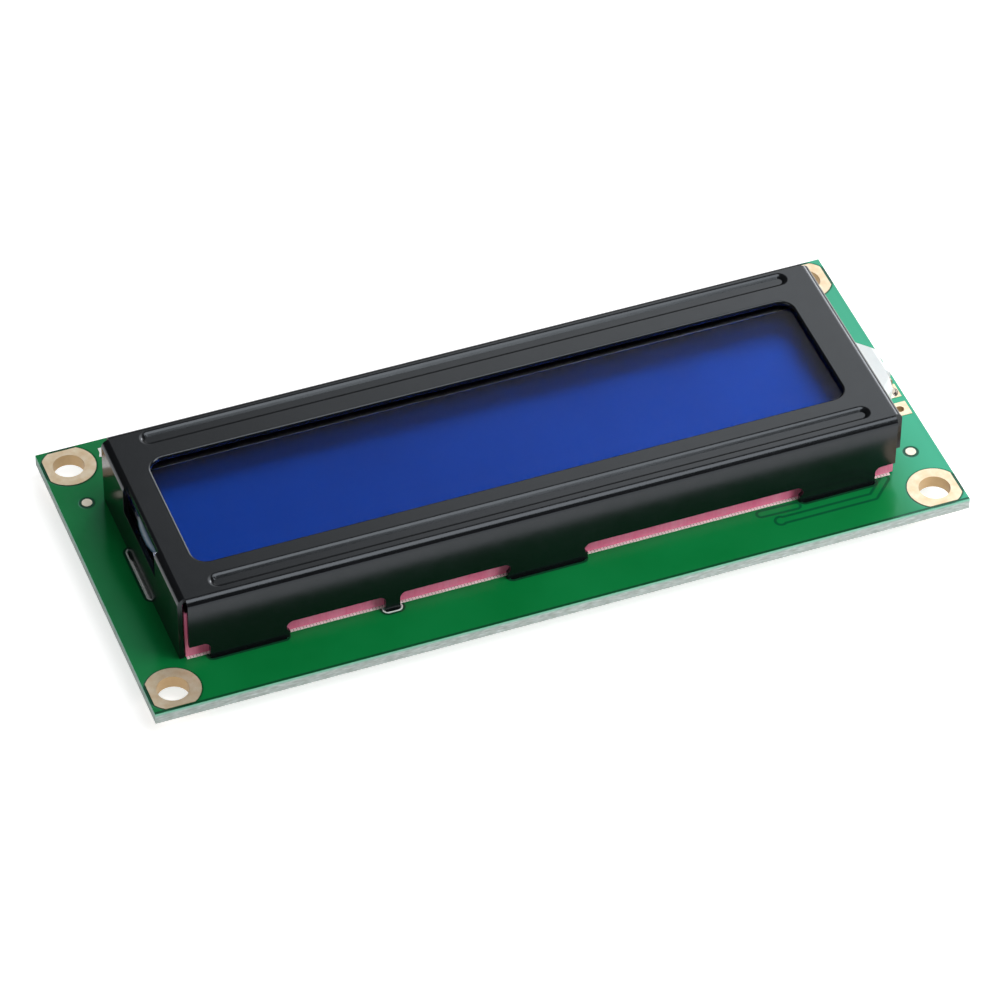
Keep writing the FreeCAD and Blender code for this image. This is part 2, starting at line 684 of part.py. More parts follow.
def lower_glass():
    """Rear glass, between the strips."""
    front, back = lower_glass_limits()
    return block(CELL_LEFT, CELL_RIGHT, front, back, LOWER_GLASS_BOTTOM, LOWER_GLASS_TOP)


def cell_seal():
    """Glue frame between the two glasses, with its filling mouth at the left."""
    front, back = lower_glass_limits()
    outer = block(CELL_LEFT + SEAL_INSET, CELL_RIGHT - SEAL_INSET, front + SEAL_INSET, back - SEAL_INSET,
                  LOWER_GLASS_TOP, UPPER_GLASS_BOTTOM)
    inset = SEAL_INSET + SEAL_WIDTH
    inner = block(CELL_LEFT + inset, CELL_RIGHT - inset, front + inset, back - inset,
                  LOWER_GLASS_TOP - OVERCUT, UPPER_GLASS_BOTTOM + OVERCUT)
    plug_y = FRAME_CENTRE_Y + PLUG_SHIFT_Y
    mouth = block(CELL_LEFT, CELL_LEFT + inset + OVERCUT, plug_y - SEAL_MOUTH / 2, plug_y + SEAL_MOUTH / 2,
                  LOWER_GLASS_TOP - OVERCUT, UPPER_GLASS_BOTTOM + OVERCUT)
    return outer.cut([inner, mouth])


def bead(side, other, half, rise, point):
    """Flat outline of a bead: an arc that bulges out to the left from a straight base."""
    start = point(CELL_LEFT, side - half, other)
    crown = point(CELL_LEFT - rise, side, other)
    end = point(CELL_LEFT, side + half, other)
    arc = Part.Arc(start, crown, end).toShape()
    base = Part.LineSegment(end, start).toShape()
    return Part.Face(Part.Wire([arc, base]))


def fill_plug():
    """Bead of clear resin over the filling mouth, rounded outside the glass edges."""
    y = FRAME_CENTRE_Y + PLUG_SHIFT_Y
    z = (LOWER_GLASS_TOP + UPPER_GLASS_BOTTOM) / 2
    half_length = PLUG_LENGTH / 2
    half_height = PLUG_HEIGHT / 2
    plan = bead(y, z - half_height, half_length, PLUG_BULGE, lambda x, side, other: Vec(x, side, other))
    section = bead(z, y - half_length, half_height, PLUG_BULGE, lambda x, side, other: Vec(x, other, side))
    return plan.extrude(Vec(0, 0, PLUG_HEIGHT)).common(section.extrude(Vec(0, PLUG_LENGTH, 0)))


def polariser(bottom):
    """Polarising film, a little larger than the window."""
    left, right, front, back = window_limits()
    margin = POLARISER_MARGIN
    return block(left - margin, right + margin, front - margin, back + margin,
                 bottom, bottom + POLARISER_THICKNESS)


def rubber_strip(outer, inner):
    """Striped rubber connector between the contact fingers and the front glass."""
    left = FRAME_LEFT + SHEET + STRIP_END_CLEARANCE
    right = FRAME_RIGHT - SHEET - STRIP_END_CLEARANCE
    return block(left, right, min(outer, inner), max(outer, inner), BOARD_TOP + COPPER, UPPER_GLASS_BOTTOM)


# Backlight

def backlight_sheet(bottom, top):
    """Flat layer of the backlight, between the strips."""
    return block(GUIDE_LEFT, GUIDE_RIGHT, GUIDE_FRONT, GUIDE_BACK, bottom, top)


def lamp_limits():
    """Ends, sides and heights of the lamp in its pocket."""
    left = HOLDER_LEFT + HOLDER_CLEARANCE
    bottom = BOARD_TOP + LED_LIFT
    middle = LEAD_FIRST_Y + LEAD_PITCH / 2
    half = LED_WIDTH / 2
    return left, left + LED_LENGTH, middle - half, middle + half, bottom, bottom + LED_HEIGHT


def lamp():
    """Side lamp that shines into the light guide's end."""
    return block(*lamp_limits())


def lead_profile(y, grow):
    """Flat lead: out of the lamp, a bend, and down through the board."""
    half = LEAD_THICKNESS / 2 + grow
    side = LEAD_WIDTH / 2 + grow
    start = lamp_limits()[1]
    bottom = BOARD_BACK - LEAD_PROUD
    run = block(start, LED_PAD_X + half, y - side, y + side, LEAD_LEVEL - half, LEAD_LEVEL + half)
    leg = block(LED_PAD_X - half, LED_PAD_X + half, y - side, y + side, bottom, LEAD_LEVEL + half)
    return run.fuse(leg).removeSplitter()


def lamp_lead(y):
    """Lead with its outer bend rounded."""
    lead = lead_profile(y, 0)
    corner_x = LED_PAD_X + LEAD_THICKNESS / 2
    corner_z = LEAD_LEVEL + LEAD_THICKNESS / 2
    corner = [edge for edge in lead.Edges
              if abs(edge.CenterOfMass.x - corner_x) < 1e-6 and abs(edge.CenterOfMass.z - corner_z) < 1e-6]
    return lead.makeFillet(LEAD_THICKNESS, corner)


def lamp_holder():
    """White housing on the board, whose tapered end reaches out under the right wall."""
    middle = (HOLDER_FRONT + HOLDER_BACK) / 2
    tip = HOLDER_TIP_WIDTH / 2
    slope_start = HOLDER_LEFT + HOLDER_ROOT_REACH
    outline = closed([
        Vec(HOLDER_LEFT, HOLDER_FRONT, BOARD_TOP),
        Vec(slope_start, HOLDER_FRONT, BOARD_TOP),
        Vec(HOLDER_TIP, middle - tip, BOARD_TOP),
        Vec(HOLDER_TIP, middle + tip, BOARD_TOP),
        Vec(slope_start, HOLDER_BACK, BOARD_TOP),
        Vec(HOLDER_LEFT, HOLDER_BACK, BOARD_TOP),
    ])
    body = raised(outline, HOLDER_HEIGHT)
    rim = [edge for edge in body.Edges
           if edge.BoundBox.ZMin > HOLDER_TOP - 1e-4 and edge.BoundBox.XMax > HOLDER_TIP - 1e-4]
    body = body.makeChamfer(HOLDER_BEVEL, rim)
    clear = HOLDER_CLEARANCE
    low = BOARD_TOP - OVERCUT
    past_tip = HOLDER_TIP + OVERCUT
    x0, x1, y0, y1, z0, z1 = lamp_limits()
    pocket = block(HOLDER_LEFT - OVERCUT, x1 + clear, y0 - clear, y1 + clear, low, z1 + clear)
    (_, first_y), (_, second_y) = lead_places()
    side = LEAD_WIDTH / 2 + clear
    recess_x = LED_PAD_X - LEAD_THICKNESS
    corner = block(recess_x, past_tip, HOLDER_FRONT, first_y + 2 * side, low, HOLDER_TOP + OVERCUT)
    pad = LED_PAD / 2 + clear
    crown = BOARD_TOP + COPPER + SOLDER_CROWN + clear
    pads = block(LED_PAD_X - pad, past_tip, spare_place()[1] - pad, second_y + pad, low, crown)
    hollow = block(recess_x, past_tip, second_y - side, second_y + side, low, LEAD_LEVEL + LEAD_THICKNESS)
    channels = [lead_profile(lead_y, clear) for _, lead_y in lead_places()]
    return body.cut([pocket, corner, pads, hollow] + channels)


def solder_joint(x, y):
    """Solder that fills a plated hole round a lead and rises to a cone at the back."""
    pad = LED_PAD - 2 * COPPER
    fill = disc(x, y, BOARD_BACK - COPPER, BOARD_TOP + COPPER, LED_HOLE)
    crown = Part.makeCone(pad / 2, SOLDER_TIP / 2, SOLDER_CROWN, Vec(x, y, BOARD_TOP + COPPER))
    base = BOARD_BACK - COPPER
    cone = Part.makeCone(pad / 2, SOLDER_TIP / 2, SOLDER_HEIGHT, Vec(x, y, base), Vec(0, 0, -1))
    return fill.fuse([crown, cone]).removeSplitter().cut(lead_profile(y, 0))


# Parts on the board's back

def chip_blob(x, y):
    """Black resin over a bare chip: a low dome in a few sloping bands, with a flat crown."""
    quarter = math.pi / 2
    outline = []
    for band in range(BLOB_BANDS + 1):
        lean = quarter * band / (BLOB_BANDS + 1)
        reach = BLOB_DIAMETER / 2 * math.cos(lean)
        depth = BLOB_HEIGHT * math.sin(lean) / math.sin(quarter * BLOB_BANDS / (BLOB_BANDS + 1))
        outline.append(Vec(x + reach, y, BOARD_BACK - depth))
    centre = Vec(x, y, BOARD_BACK)
    crown = Vec(x, y, BOARD_BACK - BLOB_HEIGHT)
    profile = Part.Face(closed([centre] + outline + [crown]))
    return profile.revolve(centre, Vec(0, 0, 1), 360)


def chip_part(x, y, height):
    """Surface-mounted part: a block with a metal cap on each end."""
    half = CHIP_LENGTH / 2
    side = CHIP_WIDTH / 2
    inset = CHIP_CAP_PROUD
    low = BOARD_BACK - height
    body = block(x - half, x + half, y - side + inset, y + side - inset, low + inset, BOARD_BACK - inset)
    left = block(x - half, x - half + CHIP_CAP, y - side, y + side, low, BOARD_BACK)
    right = block(x + half - CHIP_CAP, x + half, y - side, y + side, low, BOARD_BACK)
    return body.fuse([left, right]).removeSplitter()


def module_parts():
    """Every piece of the module, by name."""
    parts = {"circuit_board": circuit_board()}
    for number, (x, y) in enumerate(mount_places(), 1):
        parts[f"mount_ring_{number}"] = plated_hole(x, y, MOUNT_HOLE, *round_pads(x, y, MOUNT_PAD))
    for number, (x, y) in enumerate(header_places(), 1):
        parts[f"header_pad_{number:02d}"] = header_pad(x, y)
    mark_x = BOARD_RIGHT - MARK_END_INSET
    mark_y = BOARD_FAR - MARK_SIDE_INSET
    parts["alignment_mark_left"] = alignment_mark(-mark_x, mark_y)
    parts["alignment_mark_right"] = alignment_mark(mark_x, -mark_y)
    front_tips = FRAME_FRONT + SHEET + FINGER_CLEARANCE
    back_tips = FRAME_BACK - SHEET - FINGER_CLEARANCE
    parts["contact_fingers_front"] = contact_fingers(front_tips, FRONT_STRIP_OUTER, FRONT_STRIP_INNER)
    parts["contact_fingers_back"] = contact_fingers(back_tips, BACK_STRIP_OUTER, BACK_STRIP_INNER)
    parts["metal_frame"] = metal_frame()
    parts["upper_glass"] = upper_glass()
    parts["lower_glass"] = lower_glass()
    parts["cell_seal"] = cell_seal()
    parts["fill_plug"] = fill_plug()
    parts["front_polariser"] = polariser(UPPER_GLASS_TOP)
    parts["rear_polariser"] = polariser(REAR_POLARISER_BOTTOM)
    parts["rubber_strip_front"] = rubber_strip(FRONT_STRIP_OUTER, FRONT_STRIP_INNER)
    parts["rubber_strip_back"] = rubber_strip(BACK_STRIP_OUTER, BACK_STRIP_INNER)
    parts["reflector_sheet"] = backlight_sheet(BOARD_TOP, REFLECTOR_TOP)
    parts["light_guide"] = backlight_sheet(REFLECTOR_TOP, GUIDE_TOP)
    parts["diffuser_sheet"] = backlight_sheet(GUIDE_TOP, DIFFUSER_TOP)
    parts["lamp_holder"] = lamp_holder()
    parts["lamp"] = lamp()
    for number, (x, y) in enumerate(lead_places(), 1):
        parts[f"lamp_lead_{number}"] = lamp_lead(y)
        parts[f"lamp_pad_{number}"] = plated_hole(x, y, LED_HOLE, *square_pads(x, y, LED_PAD))
        parts[f"lamp_solder_{number}"] = solder_joint(x, y)
    parts["spare_pad"] = plated_hole(*spare_place(), LED_HOLE, *square_pads(*spare_place(), LED_PAD))
    for name, (x, y) in zip(("controller_blob", "driver_blob"), blob_places()):
        parts[name] = chip_blob(x, y)
    chip_row = FRAME_BACK - CHIP_ROW_INSET
    for number in range(LADDER_COUNT):
        x = BOARD_LEFT + LADDER_START + LADDER_PITCH * number
        parts[f"ladder_resistor_{number + 1}"] = chip_part(x, chip_row, CHIP_HEIGHT)
    parts["oscillator_resistor"] = chip_part(0, FRAME_BACK - OSCILLATOR_INSET, CHIP_HEIGHT)
    parts["lamp_resistor"] = chip_part(BOARD_RIGHT - LAMP_RESISTOR_INSET, LAMP_RESISTOR_Y, CHIP_HEIGHT)
    parts["supply_capacitor"] = chip_part(BOARD_RIGHT - CAPACITOR_INSET, chip_row, CAPACITOR_HEIGHT)
    return parts


def main():
    """Writes one file for each piece."""
    os.makedirs("parts", exist_ok=True)
    for name, shape in module_parts().items():
        shape.exportStep(f"parts/{name}.step")
        print(name, len(shape.Solids), round(shape.Volume, 4), shape.isValid())


main()
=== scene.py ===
import logging
import math
from contextlib import contextmanager
from dataclasses import dataclass
from enum import Enum
from functools import cached_property, reduce
from typing import Callable, Iterator, Sequence

import bmesh
import bpy
from mathutils import Matrix, Vector


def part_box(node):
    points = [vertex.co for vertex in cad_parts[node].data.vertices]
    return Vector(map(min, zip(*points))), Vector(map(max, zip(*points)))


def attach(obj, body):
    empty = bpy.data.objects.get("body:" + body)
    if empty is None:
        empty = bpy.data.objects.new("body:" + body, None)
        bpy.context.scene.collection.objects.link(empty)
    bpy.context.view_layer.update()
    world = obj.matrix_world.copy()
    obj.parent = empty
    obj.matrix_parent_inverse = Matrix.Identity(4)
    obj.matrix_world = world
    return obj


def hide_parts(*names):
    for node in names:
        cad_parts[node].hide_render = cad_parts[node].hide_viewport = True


# Character display module: the looks of every surface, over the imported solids.
# X runs along the module, Y towards the connector row, Z up out of the glass.
# Lengths are in metres, but a Route and an Opening are in millimetres.

MM = 0.001
TINY = 1e-7              # a length that counts as none
FACING_UP = 0.9          # the least Z of the normal of a face that lies flat
MITRE_LIMIT = 0.3        # keeps a sharp bend's mitre from running far out
NOISE_RANGE = (0.3, 0.7)  # what a noise texture's values nearly all lie between
GLOSS_PATCH = 0.4        # a moulded surface's gloss patches, against its colour patches
AXIS_X = Vector((1, 0, 0))
AXIS_Z = Vector((0, 0, 1))

Piece = bpy.types.Object
Socket = bpy.types.NodeSocket
Material = bpy.types.Material
Colour = tuple[float, float, float]
Point = tuple[float, float]
Route = tuple[Point, ...]
Inputs = tuple[tuple[str, object], ...]

WHITE = (1.0, 1.0, 1.0)

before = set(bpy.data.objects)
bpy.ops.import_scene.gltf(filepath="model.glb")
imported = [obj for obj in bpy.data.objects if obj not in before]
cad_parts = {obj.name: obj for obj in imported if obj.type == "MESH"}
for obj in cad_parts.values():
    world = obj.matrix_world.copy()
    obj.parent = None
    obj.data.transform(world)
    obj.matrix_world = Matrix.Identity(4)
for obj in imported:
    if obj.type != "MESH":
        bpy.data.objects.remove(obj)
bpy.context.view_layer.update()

log = logging.getLogger("display_module")


class Body(Enum):
    """Bodies of the module. Nothing on it moves, so there is one."""

    MODULE = "root"


class Slot(Enum):
    """Material slots of the record; each new piece is handed over with one."""

    LAMINATE = "board_laminate"
    GOLD = "gold_plating"
    PAINT = "frame_paint"
    GLASS = "display_glass"
    FILM = "polariser_film"
    PLUG = "plug_resin"
    RUBBER = "strip_rubber"
    BLOB = "blob_resin"
    RESISTOR = "resistor_body"
    CAPACITOR = "capacitor_body"


# Modelling steps


def clear_selection() -> None:
    """Leaves edit mode and selects nothing."""
    if bpy.context.object is not None and bpy.context.object.mode != "OBJECT":
        bpy.ops.object.mode_set(mode="OBJECT")
    bpy.ops.object.select_all(action="DESELECT")


def pick(*pieces: Piece) -> None:
    """Makes pieces the only selected ones, and the first of them the active one."""
    clear_selection()
    for piece in pieces:
        piece.select_set(True)
    bpy.context.view_layer.objects.active = pieces[0]


@contextmanager
def editing(piece: Piece, kind: str = "FACE", whole: bool = False) -> Iterator[None]:
    """Edit mode on one piece.

    Args:
        piece: the piece to edit.
        kind: what is selected, VERT, EDGE or FACE.
        whole: whether all of it is selected at the start, rather than nothing.

    Yields:
        Nothing.
    """
    pick(piece)
    bpy.ops.object.mode_set(mode="EDIT")
    bpy.ops.mesh.select_mode(type=kind)
    bpy.ops.mesh.select_all(action="SELECT" if whole else "DESELECT")
    yield
    bpy.ops.object.mode_set(mode="OBJECT")


def choose(piece: Piece, parts: str, test: Callable) -> None:
    """Selects only some parts of the mesh under edit.

    Args:
        piece: the piece under edit.
        parts: which parts, verts, edges or faces.
        test: says of each whether it is chosen.
    """
    bpy.ops.mesh.select_all(action="DESELECT")
    for part in filter(test, getattr(bmesh.from_edit_mesh(piece.data), parts)):
        part.select_set(True)
    bmesh.update_edit_mesh(piece.data)


def chosen_corners(piece: Piece) -> list[bmesh.types.BMVert]:
    """Selected vertices of the mesh under edit."""
    return [vertex for vertex in bmesh.from_edit_mesh(piece.data).verts if vertex.select]


def extrude(height: float) -> None:
    """Extrudes the selected faces along Z."""
    bpy.ops.mesh.extrude_region_move(TRANSFORM_OT_translate={"value": (0, 0, height)})


def round_edges(piece: Piece, test: Callable, offset: float, segments: int = 2) -> None:
    """Bevels the edges that pass a test.

    Args:
        piece: the piece.
        test: says of an edge whether it is rounded.
        offset: how far the rounding reaches from the edge.
        segments: how many faces it has.
    """
    with editing(piece, "EDGE"):
        choose(piece, "edges", test)
        bpy.ops.mesh.bevel(offset=offset, segments=segments, affect="EDGES", clamp_overlap=True)


def outward(piece: Piece) -> Piece:
    """Turns every face of a closed piece outwards."""
    with editing(piece, whole=True):
        bpy.ops.mesh.normals_make_consistent(inside=False)
    return piece


def smooth(piece: Piece, angle: float) -> Piece:
    """Shades a piece smooth where its faces meet at less than an angle in degrees."""
    pick(piece)
    bpy.ops.object.shade_smooth_by_angle(angle=math.radians(angle))
    return piece


def placed(name: str, scale: Vector = Vector(WHITE)) -> Piece:
    """Names the primitive just added, and puts its place and scale into its mesh.

    Args:
        name: the piece's name.
        scale: its scale along each axis.

    Returns:
        The piece.
    """
    piece = bpy.context.object
    piece.scale = scale
    bpy.ops.object.transform_apply(location=True, rotation=True, scale=True)
    piece.name = name
    return piece


def new_block(name: str, low: Vector, high: Vector) -> Piece:
    """Block between two corners, the start of a piece.

    Args:
        name: the piece's name.
        low: its lowest corner.
        high: its highest corner.

    Returns:
        The block.
    """
    clear_selection()
    bpy.ops.mesh.primitive_cube_add(size=1, location=(low + high) / 2)
    return placed(name, high - low)


def new_disc(name: str, centre: Vector, radius: float, sides: int) -> Piece:
    """Flat many-sided disc, the start of a piece.

    Args:
        name: the piece's name.
        centre: its centre.
        radius: its radius.
        sides: how many sides it has.

    Returns:
        The disc.
    """
    clear_selection()
    bpy.ops.mesh.primitive_circle_add(vertices=sides, radius=radius, location=centre, fill_type="NGON")
    return placed(name)


def new_half_ball(name: str, low: Vector, high: Vector, axis: Vector, sides: int) -> Piece:
    """Half of a ball that fills a box, cut flat on the box's high side along an axis.

    Args:
        name: the piece's name.
        low: the box's lowest corner.
        high: its highest corner.
        axis: the axis across the cut.
        sides: how many sides the ball has.

    Returns:
        The half ball.
    """
    spread = Vector(WHITE) + axis
    clear_selection()
    bpy.ops.mesh.primitive_uv_sphere_add(segments=sides, ring_count=sides // 2, radius=0.5,
                                         location=low + (high - low) * spread / 2)
    piece = placed(name, (high - low) * spread)
    with editing(piece, "VERT", whole=True):
        bpy.ops.mesh.bisect(plane_co=high, plane_no=axis, use_fill=True, clear_outer=True)
    return piece


def ribbon_sides(route: Sequence[Vector], width: float) -> list[tuple[Vector, Vector]]:
    """Left and right corner of a ribbon at each point of its route.

    Args:
        route: the points of its middle line, seen from above.
        width: how wide it is.

    Returns:
        Both corners at each point, mitred at the bends and half a width past both ends.
    """
    sides = []
    for index, point in enumerate(route):
        before = (point - route[index - 1] if index else route[1] - point).normalized()
        after = (route[index + 1] - point).normalized() if index + 1 < len(route) else before
        middle = (before + after).normalized()
        across = Vector((-middle.y, middle.x)) * (width / 2 / max(MITRE_LIMIT, middle.dot(before)))
        if index in (0, len(route) - 1):
            point = point + before * (width / 2 if index else -width / 2)
        sides.append((point + across, point - across))
    return sides


def new_ribbon(name: str, route: Route, width: float, z: float, height: float) -> Piece:
    """Flat line of one width along a route, raised off a face.

    Args:
        name: the piece's name.
        route: the points of its middle line.
        width: how wide it is.
        z: the height of the face that it lies on.
        height: how far it stands off that face, negative on a lower face.

    Returns:
        The ribbon.
    """
    first, last, *others = ribbon_sides([Vector(point) * MM for point in route], width)
    clear_selection()
    bpy.ops.mesh.primitive_plane_add(size=1, location=(0, 0, z))
    piece = placed(name)
    with editing(piece, "EDGE"):
        for vertex, corner in zip(bmesh.from_edit_mesh(piece.data).verts, (*first, *last)):
            vertex.co.xy = corner
        for corners in others:
            choose(piece, "edges", lambda e: all(min((v.co.xy - c).length for c in last) < TINY for v in e.verts))
            bpy.ops.mesh.extrude_edges_move(TRANSFORM_OT_translate={"value": (0, 0, 0)})
            for vertex in chosen_corners(piece):
                vertex.co.xy = corners[0] if (vertex.co.xy - last[0]).length < TINY else corners[1]
            last = corners
    with editing(piece, whole=True):
        extrude(height)
    return piece


def copied(piece: Piece, move: Vector) -> Piece:
    """Copy of a piece with a mesh of its own, moved within that mesh.

    Args:
        piece: what is copied.
        move: how far the copy lies from it.

    Returns:
        The copy.
    """
    twin = piece.copy()
    twin.data = piece.data.copy()
    bpy.context.scene.collection.objects.link(twin)
    twin.data.transform(Matrix.Translation(move))
    return twin


def joined(name: str, pieces: Sequence[Piece]) -> Piece:
    """Several meshes as one piece.

    Args:
        name: the name of the whole.
        pieces: what it is joined from.

    Returns:
        The joined piece.
    """
    pick(*pieces)
    bpy.ops.object.join()
    bpy.context.object.name = name
    return bpy.context.object


# Nodes


@dataclass(frozen=True)
class Grain:
    """Soft variation: its patch size, range, fineness and share of the position along each axis."""

    size: float
    low: float = 0.0
    high: float = 1.0
    detail: float = 2.0
    stretch: Colour = WHITE


class Wiring:
    """One node tree, filled in step by step."""

    def __init__(self, tree: bpy.types.NodeTree) -> None:
        """Takes the tree."""
        self.tree = tree

    def put(self, source: object, target: Socket) -> None:
        """Feeds an input.

        Args:
            source: a socket, or the value that the input keeps.
            target: the input.
        """
        if isinstance(source, Socket):
            self.tree.links.new(source, target)
        else:
            target.default_value = (*source, 1.0) if target.type == "RGBA" else source

    def node(self, kind: str, *sources: object, out: str | int = 0, **extras: object) -> Socket:
        """Adds a node and feeds it.

        Args:
            kind: its type, without the leading ShaderNode.
            sources: a socket or value for each of its first inputs, or None where one is passed over.
            out: the output that is wanted.
            extras: its settings in small letters, and inputs with a capital and _ for a space.

        Returns:
            The wanted output.
        """
        node = self.tree.nodes.new(f"ShaderNode{kind}")
        for label, value in extras.items():
            if label.islower():
                setattr(node, label, value)
        named = [(label.replace("_", " "), value) for label, value in extras.items() if not label.islower()]
        for place, value in (*enumerate(sources), *named):
            if value is not None:
                self.put(value, node.inputs[place])
        return node.outputs[out]

    def maths(self, operation: str, *sources: object) -> Socket:
        """Maths on sockets or numbers."""
        return self.node("Math", *sources, operation=operation)

    def vector(self, operation: str, *sources: object, out: str = "Vector") -> Socket:
        """Maths on sockets or vectors."""
        return self.node("VectorMath", *sources, operation=operation, out=out)

    def fade(self, value: Socket, start: object, softness: object) -> Socket:
        """Mask that is 1 where a value lies under a start, and 0 past a soft edge."""
        end = self.maths("ADD", start, softness)
        return self.node("MapRange", value, start, end, 1.0, 0.0, interpolation_type="SMOOTHSTEP")

    def highest(self, values: Sequence[Socket]) -> Socket:
        """Highest of several values at each place."""
        return reduce(lambda first, second: self.maths("MAXIMUM", first, second), values)


class Effects:
    """Shader groups that more than one finish uses. Each is built once."""

    def __init__(self) -> None:
        """Builds the groups."""
        self.grain = self._group("soft_grain", ("Position",), ("Size", "Detail", "Low", "High"), self._grain)
        self.disc = self._group("round_mask", ("Position", "Centre"), ("Radius", "Softness"), self._disc)
        self.line = self._group("line_mask", ("Position", "Start", "End"), ("Half", "Softness"), self._line)
        self.level = self._group("level_mask", (), ("Value", "Limit", "Softness"), self._level)

    @staticmethod
    def _group(name: str, places: Sequence[str], numbers: Sequence[str], fill: Callable) -> bpy.types.NodeTree:
        """Group with named inputs that puts out one number.

        Args:
            name: the group's name.
            places: the names of its vector inputs.
            numbers: the names of its number inputs.
            fill: makes its inside from its wiring and inputs, and gives what it puts out.

        Returns:
            The group.
        """
        group = bpy.data.node_groups.new(name, "ShaderNodeTree")
        for labels, kind in ((places, "NodeSocketVector"), (numbers, "NodeSocketFloat")):
            for label in labels:
                group.interface.new_socket(label, in_out="INPUT", socket_type=kind)
        group.interface.new_socket("Result", in_out="OUTPUT", socket_type="NodeSocketFloat")
        inside, outside = group.nodes.new("NodeGroupInput"), group.nodes.new("NodeGroupOutput")
        group.links.new(fill(Wiring(group), inside.outputs), outside.inputs["Result"])
        return group

    @staticmethod
    def _grain(wiring: Wiring, given: bpy.types.NodeOutputs) -> Socket:
        """Soft irregular variation between two values."""
        scale = wiring.maths("DIVIDE", 1.0, given["Size"])
        noise = wiring.node("TexNoise", Vector=given["Position"], Scale=scale, Detail=given["Detail"])
        return wiring.node("MapRange", noise, *NOISE_RANGE, given["Low"], given["High"])

    @staticmethod
    def _disc(wiring: Wiring, given: bpy.types.NodeOutputs) -> Socket:
        """Mask of a disc seen from above, with a soft rim."""
        flat = wiring.vector("MULTIPLY", given["Position"], (1.0, 1.0, 0.0))
        apart = wiring.vector("DISTANCE", flat, given["Centre"], out="Value")
        return wiring.fade(apart, given["Radius"], given["Softness"])

    @staticmethod
    def _line(wiring: Wiring, given: bpy.types.NodeOutputs) -> Socket:
        """Mask of a straight line with round ends, seen from above."""
        flat = wiring.vector("MULTIPLY", given["Position"], (1.0, 1.0, 0.0))
        along = wiring.vector("SUBTRACT", given["End"], given["Start"])
        reach = wiring.vector("SUBTRACT", flat, given["Start"])
        dot, square = (wiring.vector("DOT_PRODUCT", first, along, out="Value") for first in (reach, along))
        share = wiring.node("Math", dot, square, operation="DIVIDE", use_clamp=True)
        step = wiring.node("VectorMath", along, operation="SCALE", Scale=share)
        nearest = wiring.vector("ADD", given["Start"], step)
        apart = wiring.vector("DISTANCE", flat, nearest, out="Value")
        return wiring.fade(apart, given["Half"], given["Softness"])

    @staticmethod
    def _level(wiring: Wiring, given: bpy.types.NodeOutputs) -> Socket:
        """Mask that is 1 where a value lies under a limit, with a soft edge."""
        return wiring.fade(given["Value"], given["Limit"], given["Softness"])


class Recipe(Wiring):
    """Node tree of one material."""

    def __init__(self, name: str, effects: Effects | None = None) -> None:
        """Makes the material, with nothing yet but its surface shader."""
        self.material = bpy.data.materials.new(name)
        self.material.use_nodes = True
        super().__init__(self.material.node_tree)
        self.effects = effects

    @cached_property
    def place(self) -> bpy.types.NodeOutputs:
        """Place and direction on the piece, in its own metres."""
        return self.node("TexCoord").node.outputs

    def feed(self, **sources: object) -> None:
        """Feeds sockets or even values to the surface shader's inputs, named with _ for a space."""
        for label, source in sources.items():
            self.put(source, self.tree.nodes["Principled BSDF"].inputs[label.replace("_", " ")])

    def grain(self, grain: Grain) -> Socket:
        """Soft variation on the piece."""
        position = self.place["Object"]
        if grain.stretch != WHITE:
            position = self.node("Mapping", Vector=position, Scale=grain.stretch)
        return self.node("Group", node_tree=self.effects.grain, Position=position, Size=grain.size, Low=grain.low,
                         High=grain.high, Detail=grain.detail)

    def tint(self, mask: Socket, first: Colour | Socket, second: Colour | Socket) -> Socket:
        """Colour that goes from a first to a second as a mask rises."""
        other_types = [None] * 5
        return self.node("Mix", mask, *other_types, first, second, data_type="RGBA", out=2)

    def split(self, vector: Socket) -> bpy.types.NodeOutputs:
        """X, Y and Z of a vector."""
        return self.node("SeparateXYZ", vector).node.outputs

    def upright(self) -> Socket:
        """How far the surface faces up or down, from 0 to 1."""
        return self.maths("ABSOLUTE", self.split(self.place["Normal"])[2])

    def under(self, value: Socket, limit: float, softness: float) -> Socket:
        """Mask of where a value lies under a limit, with a soft edge past it."""
        return self.node("Group", node_tree=self.effects.level, Value=value, Limit=limit, Softness=softness)

    def disc(self, centre: Vector, radius: float, softness: float) -> Socket:
        """Mask of a disc seen from above, with a soft rim past its radius."""
        return self.node("Group", node_tree=self.effects.disc, Position=self.place["Object"],
                         Centre=(centre.x, centre.y, 0.0), Radius=radius, Softness=softness)

    def line(self, ends: tuple[Vector, Vector], half: float, softness: float) -> Socket:
        """Mask of a straight line with round ends, seen from above, with a soft rim past half its width."""
        return self.node("Group", node_tree=self.effects.line, Position=self.place["Object"],
                         Start=ends[0].to_3d(), End=ends[1].to_3d(), Half=half, Softness=softness)

    def relief(self, height: Socket, depth: float, strength: float = 1.0) -> None:
        """Feeds a height, times a depth in metres, into the surface shader's normal."""
        self.feed(Normal=self.node("Bump", Strength=strength, Distance=depth, Height=height))


# Finishes


